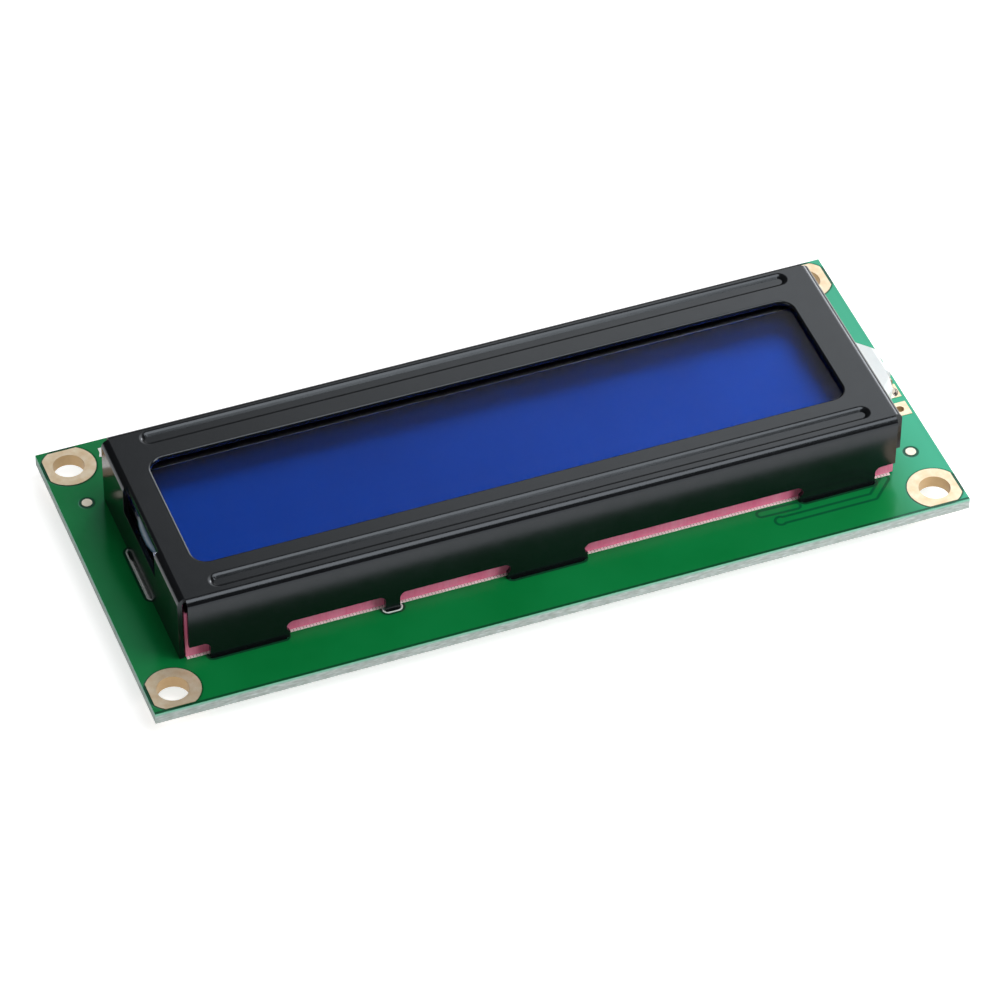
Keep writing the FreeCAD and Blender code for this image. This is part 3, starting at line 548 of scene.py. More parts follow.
@dataclass(frozen=True)
class Finish:
    """Two colours in soft patches, with a gloss and a relief of their own."""

    name: str
    colour: Colour
    second: Colour
    cloud: Grain
    gloss: Grain
    bumps: Grain
    depth: float
    shader: Inputs = ()

    def paint(self, recipe: Recipe) -> Socket:
        """Colour of the surface."""
        return recipe.tint(recipe.grain(self.cloud), self.colour, self.second)

    def shine(self, recipe: Recipe) -> Socket:
        """Roughness of the surface."""
        return recipe.grain(self.gloss)

    def build(self, effects: Effects) -> Material:
        """Material of the finish.

        Args:
            effects: the shared effects.

        Returns:
            The material.
        """
        recipe = Recipe(self.name, effects)
        recipe.feed(**dict(self.shader))
        recipe.feed(Base_Color=self.paint(recipe), Roughness=self.shine(recipe))
        if self.depth:
            recipe.relief(recipe.grain(self.bumps), self.depth)
        return recipe.material


@dataclass(frozen=True)
class PaintedSteel(Finish):
    """Glossy black paint on pressed steel, with faint dust."""

    name: str = "satin_black_paint"
    colour: Colour = (0.0040, 0.0044, 0.0052)
    second: Colour = (0.0062, 0.0067, 0.0078)
    cloud: Grain = Grain(6 * MM, detail=4.0)
    gloss: Grain = Grain(1.4 * MM, 0.16, 0.20, 3.0)
    bumps: Grain = Grain(0.6 * MM, detail=1.0)
    depth: float = 0.0004 * MM
    shader: Inputs = (("Specular_Tint", (0.84, 0.92, 1.0)),)


@dataclass(frozen=True)
class CoveredCopper(Finish):
    """Green mask over a raised copper track."""

    name: str = "green_track"
    colour: Colour = (0.010, 0.215, 0.062)
    second: Colour = (0.016, 0.260, 0.085)
    cloud: Grain = Grain(2 * MM)
    gloss: Grain = Grain(3 * MM, 0.16, 0.24)
    bumps: Grain = Grain(0.4 * MM)
    depth: float = 0.004 * MM


@dataclass(frozen=True)
class GoldPlate(Finish):
    """Thin satin gold over copper, with painted shade on upright faces."""

    name: str = "gold_plate"
    colour: Colour = (0.78, 0.60, 0.38)
    second: Colour = (0.90, 0.78, 0.60)
    cloud: Grain = Grain(0.9 * MM, detail=4.0)
    gloss: Grain = Grain(0.25 * MM, 0.36, 0.50, 3.0)
    bumps: Grain = Grain(0.12 * MM)
    depth: float = 0.006 * MM
    shader: Inputs = (("Metallic", 0.6),)
    # Painted shade: a darker colour put on every upright face, bores and pad sides alike.
    upright_shade: Colour = (0.58, 0.40, 0.21)
    upright_shade_limit: Point = (0.4, 0.2)

    def paint(self, recipe: Recipe) -> Socket:
        """Gold with painted shade where the surface is upright."""
        return recipe.tint(recipe.under(recipe.upright(), *self.upright_shade_limit), super().paint(recipe), self.upright_shade)


@dataclass(frozen=True)
class TinnedMetal(Finish):
    """Dull tin over copper or steel, on leads, solder and slot rims."""

    cloud: Grain = Grain(0.5 * MM, detail=3.0)
    gloss: Grain = Grain(0.2 * MM, 0.22, 0.38)
    bumps: Grain = Grain(0.15 * MM)
    depth: float = 0.008 * MM
    shader: Inputs = (("Metallic", 1.0),)


def moulded(name: str, colour: Colour, second: Colour, patch: float, gloss: Point, *shader: tuple[str, object],
            bumps: float = 0.3 * MM, depth: float = 0.003 * MM) -> Finish:
    """Finish of moulded plastic, film, resin, ink or glue.

    Args:
        name: its name.
        colour: its colour.
        second: the colour that it varies to.
        patch: the size of its patches.
        gloss: its lowest and highest roughness.
        shader: shader inputs that are the same all over.
        bumps: the size of its relief.
        depth: how deep that is.

    Returns:
        The finish.
    """
    return Finish(name, colour, second, Grain(patch, detail=3.0), Grain(patch * GLOSS_PATCH, *gloss, 3.0),
                  Grain(bumps), depth, shader)


@dataclass(frozen=True)
class LayeredRubber(Finish):
    """Pink silicone with fine upright layers."""

    name: str = "pink_strip"
    colour: Colour = (0.94, 0.15, 0.32)
    second: Colour = (0.98, 0.29, 0.46)
    cloud: Grain = Grain(2.5 * MM, detail=3.0)
    cloud_share: float = 0.65
    layers: Grain = Grain(0.10 * MM, 0.0, 0.35, 0.0, (1.0, 0.02, 0.02))
    gloss: Grain = Grain(0.6 * MM, 0.42, 0.58)
    bumps: Grain = Grain(0.2 * MM)
    depth: float = 0.006 * MM

    def paint(self, recipe: Recipe) -> Socket:
        """Pink in patches and layers."""
        cloud = recipe.maths("MULTIPLY", recipe.grain(self.cloud), self.cloud_share)
        return recipe.tint(recipe.maths("ADD", cloud, recipe.grain(self.layers)), self.colour, self.second)


@dataclass(frozen=True)
class ClearStack(Finish):
    """Clear glass under a faintly hazy film, which begins at a height."""

    name: str = "clear_glass"
    colour: Colour = (0.84, 0.89, 1.0)
    second: Colour = (0.90, 0.93, 1.0)
    cloud: Grain | None = None
    gloss: Grain = Grain(5 * MM, 0.126, 0.154)
    bumps: Grain | None = None
    depth: float = 0.0
    shader: Inputs = (("Transmission_Weight", 1.0), ("IOR", 1.2))
    polish: float = 0.03
    film_height: float = 0.0
    film_softness: float = 0.02 * MM

    def _glass(self, recipe: Recipe) -> Socket:
        """Mask of the glass under the film."""
        return recipe.under(recipe.split(recipe.place["Object"])[2], self.film_height, self.film_softness)

    def paint(self, recipe: Recipe) -> Socket:
        """Tint of the film, and of the glass under it."""
        return recipe.tint(self._glass(recipe), self.colour, self.second)

    def shine(self, recipe: Recipe) -> Socket:
        """Haze of the film, and polish of the glass."""
        glass = self._glass(recipe)
        haze = recipe.maths("MULTIPLY", recipe.maths("SUBTRACT", 1.0, glass), recipe.grain(self.gloss))
        return recipe.maths("ADD", haze, recipe.maths("MULTIPLY", glass, self.polish))


@dataclass(frozen=True)
class BlueField(Finish):
    """Deep blue rear film with the sheen of the mirror layer behind it."""

    name: str = "blue_field"
    colour: Colour = (0.001, 0.048, 0.345)
    second: Colour = (0.002, 0.056, 0.390)
    cloud: Grain = Grain(14 * MM)
    gloss: Grain = Grain(3 * MM, 0.41, 0.45)
    bumps: Grain | None = None
    depth: float = 0.0
    shader: Inputs = (("Metallic", 1.0),)


@dataclass(frozen=True)
class ChipFinish(Finish):
    """Body of a small chip, with tinned ends."""

    cloud: Grain = Grain(0.5 * MM)
    gloss: Grain = Grain(0.3 * MM, 0.26, 0.42)
    bumps: Grain = Grain(0.1 * MM)
    depth: float = 0.004 * MM
    tin: Colour = (0.66, 0.65, 0.62)
    middle: float = 0.0
    half_body: float = 0.6 * MM
    edge: float = 0.01 * MM

    def paint(self, recipe: Recipe) -> Socket:
        """Body between two tinned ends, which are metal."""
        reach = recipe.maths("SUBTRACT", recipe.split(recipe.place["Object"])[0], self.middle)
        body = recipe.under(recipe.maths("ABSOLUTE", reach), self.half_body, self.edge)
        recipe.feed(Metallic=recipe.maths("SUBTRACT", 1.0, body))
        return recipe.tint(body, self.tin, super().paint(recipe))


@dataclass(frozen=True)
class Opening:
    """Slot through the board: its centre and sizes along X and Y, and its plated rim's width."""

    x: float
    y: float
    length: float
    width: float
    rim: float = 0.0

    @property
    def radius(self) -> float:
        """Radius of its round ends, in metres."""
        return min(self.length, self.width) / 2 * MM

    @property
    def step(self) -> Vector:
        """From its middle to the centre of one round end, in metres."""
        along = Vector((1, 0, 0)) if self.length > self.width else Vector((0, 1, 0))
        return along * (abs(self.length - self.width) / 2 * MM)

    @property
    def middle(self) -> Vector:
        """Its middle, in metres."""
        return Vector((self.x, self.y, 0)) * MM


@dataclass(frozen=True)
class SolderMask(Finish):
    """Glossy green mask over copper, with uncovered glass laminate at the edges and in the holes, and painted light on
    the mask towards the right end.
    """

    name: str = "green_board"
    colour: Colour = (0.002, 0.165, 0.034)
    second: Colour = (0.004, 0.195, 0.046)
    cloud: Grain = Grain(9 * MM, detail=3.0)
    gloss: Grain = Grain(4 * MM, 0.16, 0.24, 3.0)
    bumps: Grain = Grain(0.8 * MM, 0.0, 0.2)
    depth: float = 0.0
    shader: Inputs = (("Specular_Tint", (0.38, 1.0, 0.92)),)
    top: float = 0.0
    top_band: Point = (0.2 * MM, 0.01 * MM)
    mounts: tuple[Vector, ...] = ()
    mount_clearance: Point = (2.62 * MM, 0.22 * MM)
    dots: tuple[Vector, ...] = ()
    dot_clearance: Point = (0.72 * MM, 0.12 * MM)
    openings: tuple[Opening, ...] = ()
    opening_clearance: Point = (0.20 * MM, 0.08 * MM)
    clearance: Colour = (0.004, 0.052, 0.020)
    edge_ends: tuple[Vector, Vector] = (Vector((-40.0, -17.82)) * MM, Vector((40.0, -17.82)) * MM)
    edge_line: Point = (0.06 * MM, 0.10 * MM)
    # Painted light: the mask turns a lighter blue-green towards the board's right end, where the light is brighter.
    lit_right_end: Colour = (0.036, 0.36, 0.205)
    lit_right_limit: Point = (32.0 * MM, 7.5 * MM)
    routes: tuple[Route, ...] = (
        ((22.3, -14.55), (31.7, -14.55), (33.6, -12.7)),
        ((20.9, -13.1), (24.4, -13.2)),
    )
    route_softness: float = 0.14 * MM
    gap_shade: Colour = (0.002, 0.088, 0.030)
    gap_half: float = 0.48 * MM
    track_half: float = 0.20 * MM
    via: Vector = Vector((22.3, -14.55)) * MM
    via_softness: float = 0.1 * MM
    via_gap: float = 0.62 * MM
    via_track: float = 0.34 * MM
    laminate: Colour = (0.43, 0.49, 0.45)
    laminate_pale: Colour = (0.74, 0.80, 0.78)
    laminate_dark: Colour = (0.26, 0.29, 0.26)
    weave: Grain = Grain(0.45 * MM, detail=3.0, stretch=(0.6, 0.6, 2.2))
    layers: Grain = Grain(0.22 * MM, 0.0, 0.45, 1.0, (0.25, 0.25, 1.4))
    rim: Colour = (0.26, 0.62, 0.46)
    rim_start: float = 0.085 * MM
    rim_depth: float = 0.34 * MM
    wall_limit: Point = (0.5, 0.1)
    wall_matt: float = 0.5
    sunk: float = 0.016 * MM
    sunk_strength: float = 0.6
    gap_sunk: float = 0.5

    def _marks(self, recipe: Recipe, front: Socket) -> Socket:
        """Mask of the clearances round rings, slots, marks and along the front edge."""
        marks = [recipe.disc(mount, *self.mount_clearance) for mount in self.mounts]
        margin, softness = self.opening_clearance
        for slot in self.openings:
            ends = (slot.middle - slot.step, slot.middle + slot.step)
            marks.append(recipe.line(ends, slot.radius + slot.rim * MM + margin, softness))
        above = [recipe.disc(dot, *self.dot_clearance) for dot in self.dots]
        above.append(recipe.line(self.edge_ends, *self.edge_line))
        return recipe.highest([*marks, recipe.maths("MULTIPLY", recipe.highest(above), front)])

    def _copper(self, recipe: Recipe, half: float, radius: float) -> Socket:
        """Mask of the two covered tracks and their via.

        Args:
            recipe: the material's nodes.
            half: half the width that is taken for a track.
            radius: the radius that is taken for the via.

        Returns:
            The mask.
        """
        found = [recipe.disc(self.via, radius, self.via_softness)]
        for route in self.routes:
            for ends in zip(route, route[1:]):
                found.append(recipe.line(tuple(Vector(end) * MM for end in ends), half, self.route_softness))
        return recipe.highest(found)

    def _laminate(self, recipe: Recipe, fall: Socket) -> Socket:
        """Colour of the bare edges, pale green at the mask's rim.

        Args:
            recipe: the material's nodes.
            fall: the place's height, with its sign turned.

        Returns:
            The colour.
        """
        wall = recipe.tint(recipe.grain(self.weave), self.laminate, self.laminate_pale)
        wall = recipe.tint(recipe.grain(self.layers), wall, self.laminate_dark)
        return recipe.tint(recipe.under(fall, self.rim_start - self.top, self.rim_depth), wall, self.rim)

    def build(self, effects: Effects) -> Material:
        """Material of the board.

        Args:
            effects: the shared effects.

        Returns:
            The material.
        """
        recipe = Recipe(self.name, effects)
        recipe.feed(**dict(self.shader))
        across, _, height = recipe.split(recipe.place["Object"])
        fall = recipe.maths("MULTIPLY", height, -1.0)
        front = recipe.under(fall, self.top_band[0] - self.top, self.top_band[1])
        marks = self._marks(recipe, front)
        bare_of_copper = recipe.maths("SUBTRACT", 1.0, self._copper(recipe, self.track_half, self.via_track))
        gap = recipe.maths("MULTIPLY", self._copper(recipe, self.gap_half, self.via_gap), bare_of_copper)
        gap = recipe.maths("MULTIPLY", gap, front)
        # Painted light: a lighter mask past the frame's right end.
        face = recipe.tint(recipe.under(across, *self.lit_right_limit), self.lit_right_end, self.paint(recipe))
        face = recipe.tint(marks, recipe.tint(gap, face, self.gap_shade), self.clearance)
        sideways = recipe.under(recipe.upright(), *self.wall_limit)
        recipe.feed(Base_Color=recipe.tint(sideways, face, self._laminate(recipe, fall)))
        matt = recipe.maths("MULTIPLY", sideways, self.wall_matt)
        recipe.feed(Roughness=recipe.maths("ADD", self.shine(recipe), matt))
        low_places = recipe.maths("MAXIMUM", marks, recipe.maths("MULTIPLY", gap, self.gap_sunk))
        recipe.relief(recipe.maths("SUBTRACT", recipe.grain(self.bumps), low_places), self.sunk, self.sunk_strength)
        return recipe.material


# Pieces


@dataclass
class Assembly:
    """What the module's sub-assemblies share: dressing solids and handing over pieces."""

    effects: Effects

    def dress(self, finish: Finish, *names: str) -> None:
        """Gives carried-over solids a finish.

        Args:
            finish: the finish.
            names: the solids' node names.
        """
        material = finish.build(self.effects)
        for name in names:
            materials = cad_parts[name].data.materials
            materials.clear()
            materials.append(material)
            log.info("dressed %s in %s", name, material.name)

    def hand_over(self, piece: Piece, material: Material, slot: Slot, *replaced: str) -> None:
        """Finishes a modelled piece: its material, its body and what it stands for.

        Args:
            piece: the piece.
            material: its material.
            slot: the record's slot that its finish comes from; not used.
            replaced: the nodes that it stands for.
        """
        piece.data.materials.clear()
        piece.data.materials.append(material)
        if replaced:
            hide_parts(*replaced)
        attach(piece, Body.MODULE.value)
        log.info("made %s, %d faces", piece.name, len(piece.data.polygons))


@dataclass
class PressedFrame(Assembly):
    """Black pressed steel frame."""

    edge_round: float = 0.05 * MM
    edge_angle: float = 55.0
    flat_angle: float = 0.5
    merge: float = 0.0005 * MM
    smooth_angle: float = 35.0
    flat_weight: int = 90

    def _rounded(self, edge: bmesh.types.BMEdge) -> bool:
        """Whether an edge is a sharp outer one."""
        return (len(edge.link_faces) == 2 and edge.is_convex
                and edge.calc_face_angle() > math.radians(self.edge_angle))

    def model(self) -> Piece:
        """Frame with its facets joined into flats, smooth bends and rounded sheet edges."""
        piece = copied(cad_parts["metal_frame"], Vector())
        piece.parent = None
        piece.name = "pressed_frame"
        pick(piece)
        bpy.ops.mesh.customdata_custom_splitnormals_clear()
        with editing(piece, whole=True):
            bpy.ops.mesh.remove_doubles(threshold=self.merge)
            bpy.ops.mesh.dissolve_limited(angle_limit=math.radians(self.flat_angle))
            bpy.ops.mesh.normals_make_consistent(inside=False)
        round_edges(piece, self._rounded, self.edge_round)
        smooth(piece, self.smooth_angle)
        bpy.ops.object.modifier_add(type="WEIGHTED_NORMAL")
        modifier = piece.modifiers[-1]
        modifier.keep_sharp = True
        modifier.weight = self.flat_weight
        bpy.ops.object.modifier_apply(modifier=modifier.name)
        return piece

    def build(self) -> None:
        """Models and dresses the frame."""
        self.hand_over(self.model(), PaintedSteel().build(self.effects), Slot.PAINT, "metal_frame")


@dataclass
class CircuitBoard(Assembly):
    """Green board with its pads, slot rims and a white mark that paints a glint."""

    lift: float = 0.03 * MM
    arc_sides: int = 32
    openings: tuple[Opening, ...] = (
        *(Opening(x, y, 7.6, 0.85) for y in (-12.7, 10.6) for x in (-29.35, -0.3, 28.85)),
        *(Opening(-15.45, y, 1.7, 0.85, 0.14) for y in (-12.7, 10.6)),
        Opening(-35.525, -0.55, 0.85, 6.9, 0.16),
    )
    mounts: tuple[Vector, ...] = tuple(Vector((x, y)) * MM for x in (-37.5, 37.5) for y in (-15.5, 15.5))
    glint_width: float = 0.34 * MM
    glint_height: float = 0.02 * MM
    # A white mark along this route paints a glint beside the frame's back-left corner.
    outline: Route = ((-34.20, 15.85), (-34.05, 16.25), (-34.05, 16.70))

    def _slot_rim(self, slot: Opening, z: float, height: float) -> Piece:
        """Thin raised rim round one slot.

        Args:
            slot: the slot.
            z: the height that the rim starts from.
            height: how far it rises, or falls where negative.

        Returns:
            The rim.
        """
        centre = slot.middle + Vector((0, 0, z))
        piece = new_disc("slot_rim", centre, slot.radius + slot.rim * MM, self.arc_sides)
        with editing(piece, "VERT"):
            for step in (-slot.step, slot.step):
                choose(piece, "verts", lambda v: (v.co - centre).dot(step.normalized()) > TINY)
                bpy.ops.transform.translate(value=step)
        with editing(piece, whole=True):
            bpy.ops.mesh.inset(thickness=slot.rim * MM, depth=0)
            bpy.ops.mesh.delete(type="ONLY_FACE")
            bpy.ops.mesh.select_all(action="SELECT")
            extrude(height)
        return piece

    def build(self) -> None:
        """Dresses the board and adds what lies on it."""
        low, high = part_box("circuit_board")
        names = ("alignment_mark_left", "alignment_mark_right")
        dots = tuple(sum(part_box(name), Vector()) / 2 for name in names)
        self.dress(SolderMask(top=high.z, mounts=self.mounts, dots=dots, openings=self.openings), "circuit_board")
        rings = [f"mount_ring_{number}" for number in range(1, 5)]
        headers = [f"header_pad_{number:02d}" for number in range(1, 17)]
        # The gold rings, pads and pale dots carry painted shade on their upright faces.
        self.dress(GoldPlate(), *rings, *headers, "lamp_pad_1", "lamp_pad_2", "spare_pad")
        self.dress(GoldPlate("pale_dot", (0.84, 0.76, 0.60), (0.94, 0.89, 0.77), upright_shade=(0.7, 0.6, 0.4),
                             shader=(("Metallic", 0.25),)), *names)
        rims = [self._slot_rim(slot, z, lift) for slot in self.openings if slot.rim
                for z, lift in ((high.z, self.lift), (low.z, -self.lift))]
        plating = TinnedMetal("slot_plating", (0.80, 0.86, 0.82), (0.66, 0.74, 0.70), gloss=Grain(0.2 * MM, 0.4, 0.55),
                              shader=(("Metallic", 0.2),))
        self.hand_over(outward(joined("slot_rims", rims)), plating.build(self.effects), Slot.GOLD)
        # Painted highlight: a white mark where a glint shows beside the frame's back-left corner.
        glint_paint = moulded("painted_glint_white", (0.78, 0.82, 0.80), (0.88, 0.90, 0.89), 0.4 * MM, (0.5, 0.6))
        mark = outward(new_ribbon("painted_glint_mark", self.outline, self.glint_width, high.z, self.glint_height))
        self.hand_over(mark, glint_paint.build(self.effects), Slot.LAMINATE)


@dataclass
class StripConnectors(Assembly):
    """Rubber strips and the fine contacts that they press on."""

    pitch: float = 0.32 * MM
    finger: float = 0.28 * MM
    finger_height: float = 0.05 * MM
    finger_round: float = 0.015 * MM
    finger_facets: int = 1
    end_gap: float = 0.06 * MM
    strip_round: float = 0.12 * MM
    strip_facets: int = 3
    long_edge: float = 10 * MM
    smooth_angle: float = 40.0

    def contacts(self, side: str) -> Piece:
        """Row of fine contacts in place of the coarse ones.

        Args:
            side: front or back.

        Returns:
            The row.
        """
        low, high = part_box(f"contact_fingers_{side}")
        strip_low, strip_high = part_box(f"rubber_strip_{side}")
        low.x = strip_low.x + self.end_gap
        corner = Vector((low.x + self.finger, high.y, low.z + self.finger_height))
        name = f"contact_row_{side}"
        first = new_block(name, low, corner)
        half_way = low.z + self.finger_height / 2
        round_edges(first, lambda e: min(v.co.z for v in e.verts) > half_way, self.finger_round, self.finger_facets)
        count = int((strip_high.x - self.end_gap - corner.x) / self.pitch) + 1
        return joined(name, [first] + [copied(first, AXIS_X * self.pitch * index) for index in range(1, count)])

    def strip(self, side: str) -> Piece:
        """Rubber strip whose long edges are rounded.

        Args:
            side: front or back.

        Returns:
            The strip.
        """
        piece = new_block(f"soft_strip_{side}", *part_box(f"rubber_strip_{side}"))
        round_edges(piece, lambda e: e.calc_length() > self.long_edge, self.strip_round, self.strip_facets)
        return smooth(piece, self.smooth_angle)

    def build(self) -> None:
        """Makes the contacts and the strips."""
        # The pale gold contacts carry painted shade on their upright sides.
        gilt = GoldPlate("pale_gold", (0.90, 0.84, 0.80), (0.97, 0.93, 0.90), upright_shade=(0.80, 0.72, 0.66),
                         shader=(("Metallic", 0.15),)).build(self.effects)
        rubber = LayeredRubber().build(self.effects)
        for side in ("front", "back"):
            self.hand_over(self.contacts(side), gilt, Slot.GOLD, f"contact_fingers_{side}")
            self.hand_over(self.strip(side), rubber, Slot.RUBBER, f"rubber_strip_{side}")


@dataclass
class DisplayCell(Assembly):
    """Two glasses with the liquid layer between them, their films, seal and plug."""

    film_corner: float = 0.3 * MM
    film_facets: int = 4
    film_bond: float = 0.04 * MM
    seal_width: float = 1.05 * MM
    plug_sides: int = 32
    plug_angle: float = 40.0

    @staticmethod
    def _step(piece: Piece, low: Vector, high: Vector) -> None:
        """Adds a step of its own outline on top of a body.

        Args:
            piece: the body.
            low: the step's lowest corner, whose height is the body's.
            high: the step's highest corner.
        """
        with editing(piece):
            top = max(vertex.co.z for vertex in bmesh.from_edit_mesh(piece.data).verts)
            choose(piece, "faces", lambda f: f.normal.z > FACING_UP and f.calc_center_median().z > top - TINY)
            extrude(0)
            chosen = chosen_corners(piece)
            middle = sum((vertex.co for vertex in chosen), Vector()) / len(chosen)
            for vertex in chosen:
                vertex.co.x = low.x if vertex.co.x < middle.x else high.x
                vertex.co.y = low.y if vertex.co.y < middle.y else high.y
            bmesh.update_edit_mesh(piece.data)
            extrude(high.z - top)

    def clear_block(self) -> Piece:
        """Both glasses, the liquid between them and the front film as one clear body."""
        inner = Vector((self.seal_width, self.seal_width, 0))
        seal_low, seal_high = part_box("cell_seal")
        piece = new_block("display_glass", *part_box("lower_glass"))
        self._step(piece, seal_low + inner, seal_high - inner)
        self._step(piece, *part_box("upper_glass"))
        self._step(piece, *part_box("front_polariser"))
        return outward(piece)

    def rear_film(self) -> Piece:
        """Rear film, with round corners, bonded to the rear glass."""
        low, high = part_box("rear_polariser")
        piece = new_block("rear_film", low, high + Vector((0, 0, self.film_bond)))
        round_edges(piece, lambda e: abs(e.verts[0].co.z - e.verts[1].co.z) > TINY, self.film_corner, self.film_facets)
        return piece

    def build(self) -> None:
        """Makes the clear glass, the rear film and the plug, and dresses the seal."""
        clear = ClearStack(film_height=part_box("front_polariser")[0].z).build(self.effects)
        self.hand_over(self.clear_block(), clear, Slot.GLASS, "upper_glass", "front_polariser", "lower_glass")
        self.hand_over(self.rear_film(), BlueField().build(self.effects), Slot.FILM, "rear_polariser")
        resin = moulded("bluish_resin", (0.03, 0.07, 0.13), (0.06, 0.12, 0.20), 1.5 * MM, (0.3, 0.42),
                        ("Coat_Weight", 0.1))
        plug = new_half_ball("resin_plug", *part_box("fill_plug"), AXIS_X, self.plug_sides)
        self.hand_over(smooth(plug, self.plug_angle), resin.build(self.effects), Slot.PLUG, "fill_plug")
        glue = moulded("cured_glue", (0.20, 0.21, 0.20), (0.28, 0.29, 0.27), 0.8 * MM, (0.4, 0.55))
        self.dress(glue, "cell_seal")


@dataclass
class Backlight(Assembly):
    """Light guide with its films, the lamp in its holder, and the lamp's joints."""

    milky: Inputs = (
        ("Subsurface_Weight", 0.25), ("Subsurface_Radius", (1.2 * MM, 1.1 * MM, 1.0 * MM)), ("Subsurface_Scale", 1.0),
    )

    def build(self) -> None:
        """Dresses the backlight."""
        sheet = moulded("white_sheet", (0.80, 0.81, 0.81), (0.86, 0.87, 0.87), 3 * MM, (0.45, 0.6))
        guide = moulded("guide_acrylic", (0.70, 0.74, 0.76), (0.78, 0.81, 0.83), 5 * MM, (0.15, 0.25),
                        ("Coat_Weight", 0.4))
        holder = moulded("milky_holder", (0.66, 0.70, 0.71), (0.73, 0.77, 0.78), 3 * MM, (0.32, 0.42), *self.milky)
        lamp = moulded("lamp_resin", (0.80, 0.76, 0.48), (0.88, 0.85, 0.60), 0.8 * MM, (0.2, 0.3), ("Coat_Weight", 0.5))
        lead = TinnedMetal("lead_tin", (0.50, 0.42, 0.32), (0.30, 0.24, 0.17))
        solder = TinnedMetal("bright_solder", (0.62, 0.57, 0.50), (0.40, 0.36, 0.30), gloss=Grain(0.2 * MM, 0.16, 0.28))
        for finish, names in ((sheet, ("reflector_sheet", "diffuser_sheet")), (guide, ("light_guide",)),
                              (holder, ("lamp_holder",)), (lamp, ("lamp",)), (lead, ("lamp_lead_1", "lamp_lead_2")),
                              (solder, ("lamp_solder_1", "lamp_solder_2"))):
            self.dress(finish, *names)


@dataclass
class BackTracks(Assembly):
    """Covered copper on the board's back: tracks from the connector row, a bus between the chips, and vias.

    Its heights and line widths are in metres, and its places in millimetres.
    """

    height: float = 0.035 * MM
    thin: float = 0.18 * MM
    wide: float = 0.60 * MM
    via_radius: float = 0.34 * MM
    via_sides: int = 12
    via_inset: float = 0.17 * MM
    via_hollow: float = 0.0245 * MM
    row_start: float = -24.38
    row_pitch: float = 2.54
    row_bends: tuple[float, float, float] = (14.6, 14.2, 11.9)
    lanes: tuple[float, ...] = (-24.55, -23.85, -20.95, -20.25, -17.35, -16.9, -13.75, -13.05, -9.9, -8.4, -6.9)
    lane_ends: Route = (
        (-19.9, 1.6), (-19.4, 2.4), (-18.8, 3.1), (-18.1, 3.7), (-17.35, 4.2), (-16.5, 4.6), (-13.75, 5.0),
        (-13.05, 5.0), (-10.6, 4.2), (-9.7, 3.7), (-8.9, 3.0),
    )
    bus: Route = ((-7.6, -6.6), (-1.2, -6.6), (0.4, -5.8), (7.2, -5.8))
    bus_lines: int = 15
    bus_pitch: float = 0.62
    fans: tuple[tuple[float, float, float, float], ...] = (
        (-13.75, -7.0, -9.0, -11.5), (13.25, -7.0, -9.0, -11.5), (13.25, 3.0, 5.2, 7.6),
    )
    fan_lines: int = 11
    fan_near: float = 0.85
    fan_far: float = 1.25
    supply: tuple[Route, ...] = (
        ((-32.0, 14.6), (-34.2, 12.4), (-34.2, -8.6)),
        ((-29.46, 14.6), (-29.46, 13.4), (-27.9, 11.85), (-26.3, 11.85)),
        ((24.8, 8.0), (25.8, 8.0), (27.2, 6.6)),
        ((33.6, -1.4), (33.6, -9.4), (31.8, -11.2)),
        ((6.1, 14.6), (7.0, 13.75), (33.4, 13.75), (36.3, 10.85), (36.3, 2.3), (38.0, 0.58)),
        ((3.56, 14.6), (5.3, 12.9), (21.6, 12.9), (22.2, 12.3), (22.2, 9.4), (28.0, 3.6), (28.0, 2.0), (30.2, 2.0)),
        ((31.8, 2.0), (33.2, 2.0), (37.1, -1.96), (38.0, -1.96)),
    )
    open_ends: int = 4

    def _fan(self, centre: float, near_y: float, bend: float, far_y: float) -> list[Route]:
        """Routes that spread from a chip towards a long edge.

        Args:
            centre: the chip's middle along X.
            near_y: where they start.
            bend: where they begin to spread.
            far_y: where they end.

        Returns:
            The routes.
        """
        routes = []
        for index in range(self.fan_lines):
            shift = index - (self.fan_lines - 1) / 2
            near, far = centre + shift * self.fan_near, centre + shift * self.fan_far
            spread = math.copysign(abs(far - near), far_y)
            routes.append(((near, near_y), (near, bend), (far, bend + spread), (far, far_y)))
        return routes

    def _vias(self, places: Sequence[Point], z: float) -> list[Piece]:
        """Round covered vias.

        Args:
            places: their centres.
            z: the height of the board's back.

        Returns:
            The vias.
        """
        start = Vector(places[0]) * MM
        first = new_disc("via", start.to_3d() + AXIS_Z * z, self.via_radius, self.via_sides)
        with editing(first, whole=True):
            extrude(-self.height)
            bpy.ops.mesh.inset(thickness=self.via_inset, depth=0)
            bpy.ops.transform.translate(value=AXIS_Z * self.via_hollow)
        return [first] + [copied(first, (Vector(place) * MM - start).to_3d()) for place in places[1:]]

    def build(self) -> None:
        """Lays the tracks and vias."""
        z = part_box("circuit_board")[0].z
        start, first, second = self.row_bends
        lines = []
        for index, (lane, end) in enumerate(zip(self.lanes, self.lane_ends)):
            pad = self.row_start + index * self.row_pitch
            lines.append(((pad, start), (pad, first), (lane, second), (lane, end[1] + abs(end[0] - lane)), end))
        for index in range(self.bus_lines):
            lines.append(tuple((x, y + index * self.bus_pitch) for x, y in self.bus))
        fans = [route for fan in self.fans for route in self._fan(*fan)]
        ribbons = [new_ribbon("track", route, width, z, -self.height)
                   for routes, width in (((*lines, *fans), self.thin), (self.supply, self.wide)) for route in routes]
        ends = [route[-1] for route in (*fans, *self.supply[:self.open_ends])]
        whole = outward(joined("back_tracks", ribbons + self._vias(ends, z)))
        self.hand_over(whole, CoveredCopper().build(self.effects), Slot.LAMINATE)


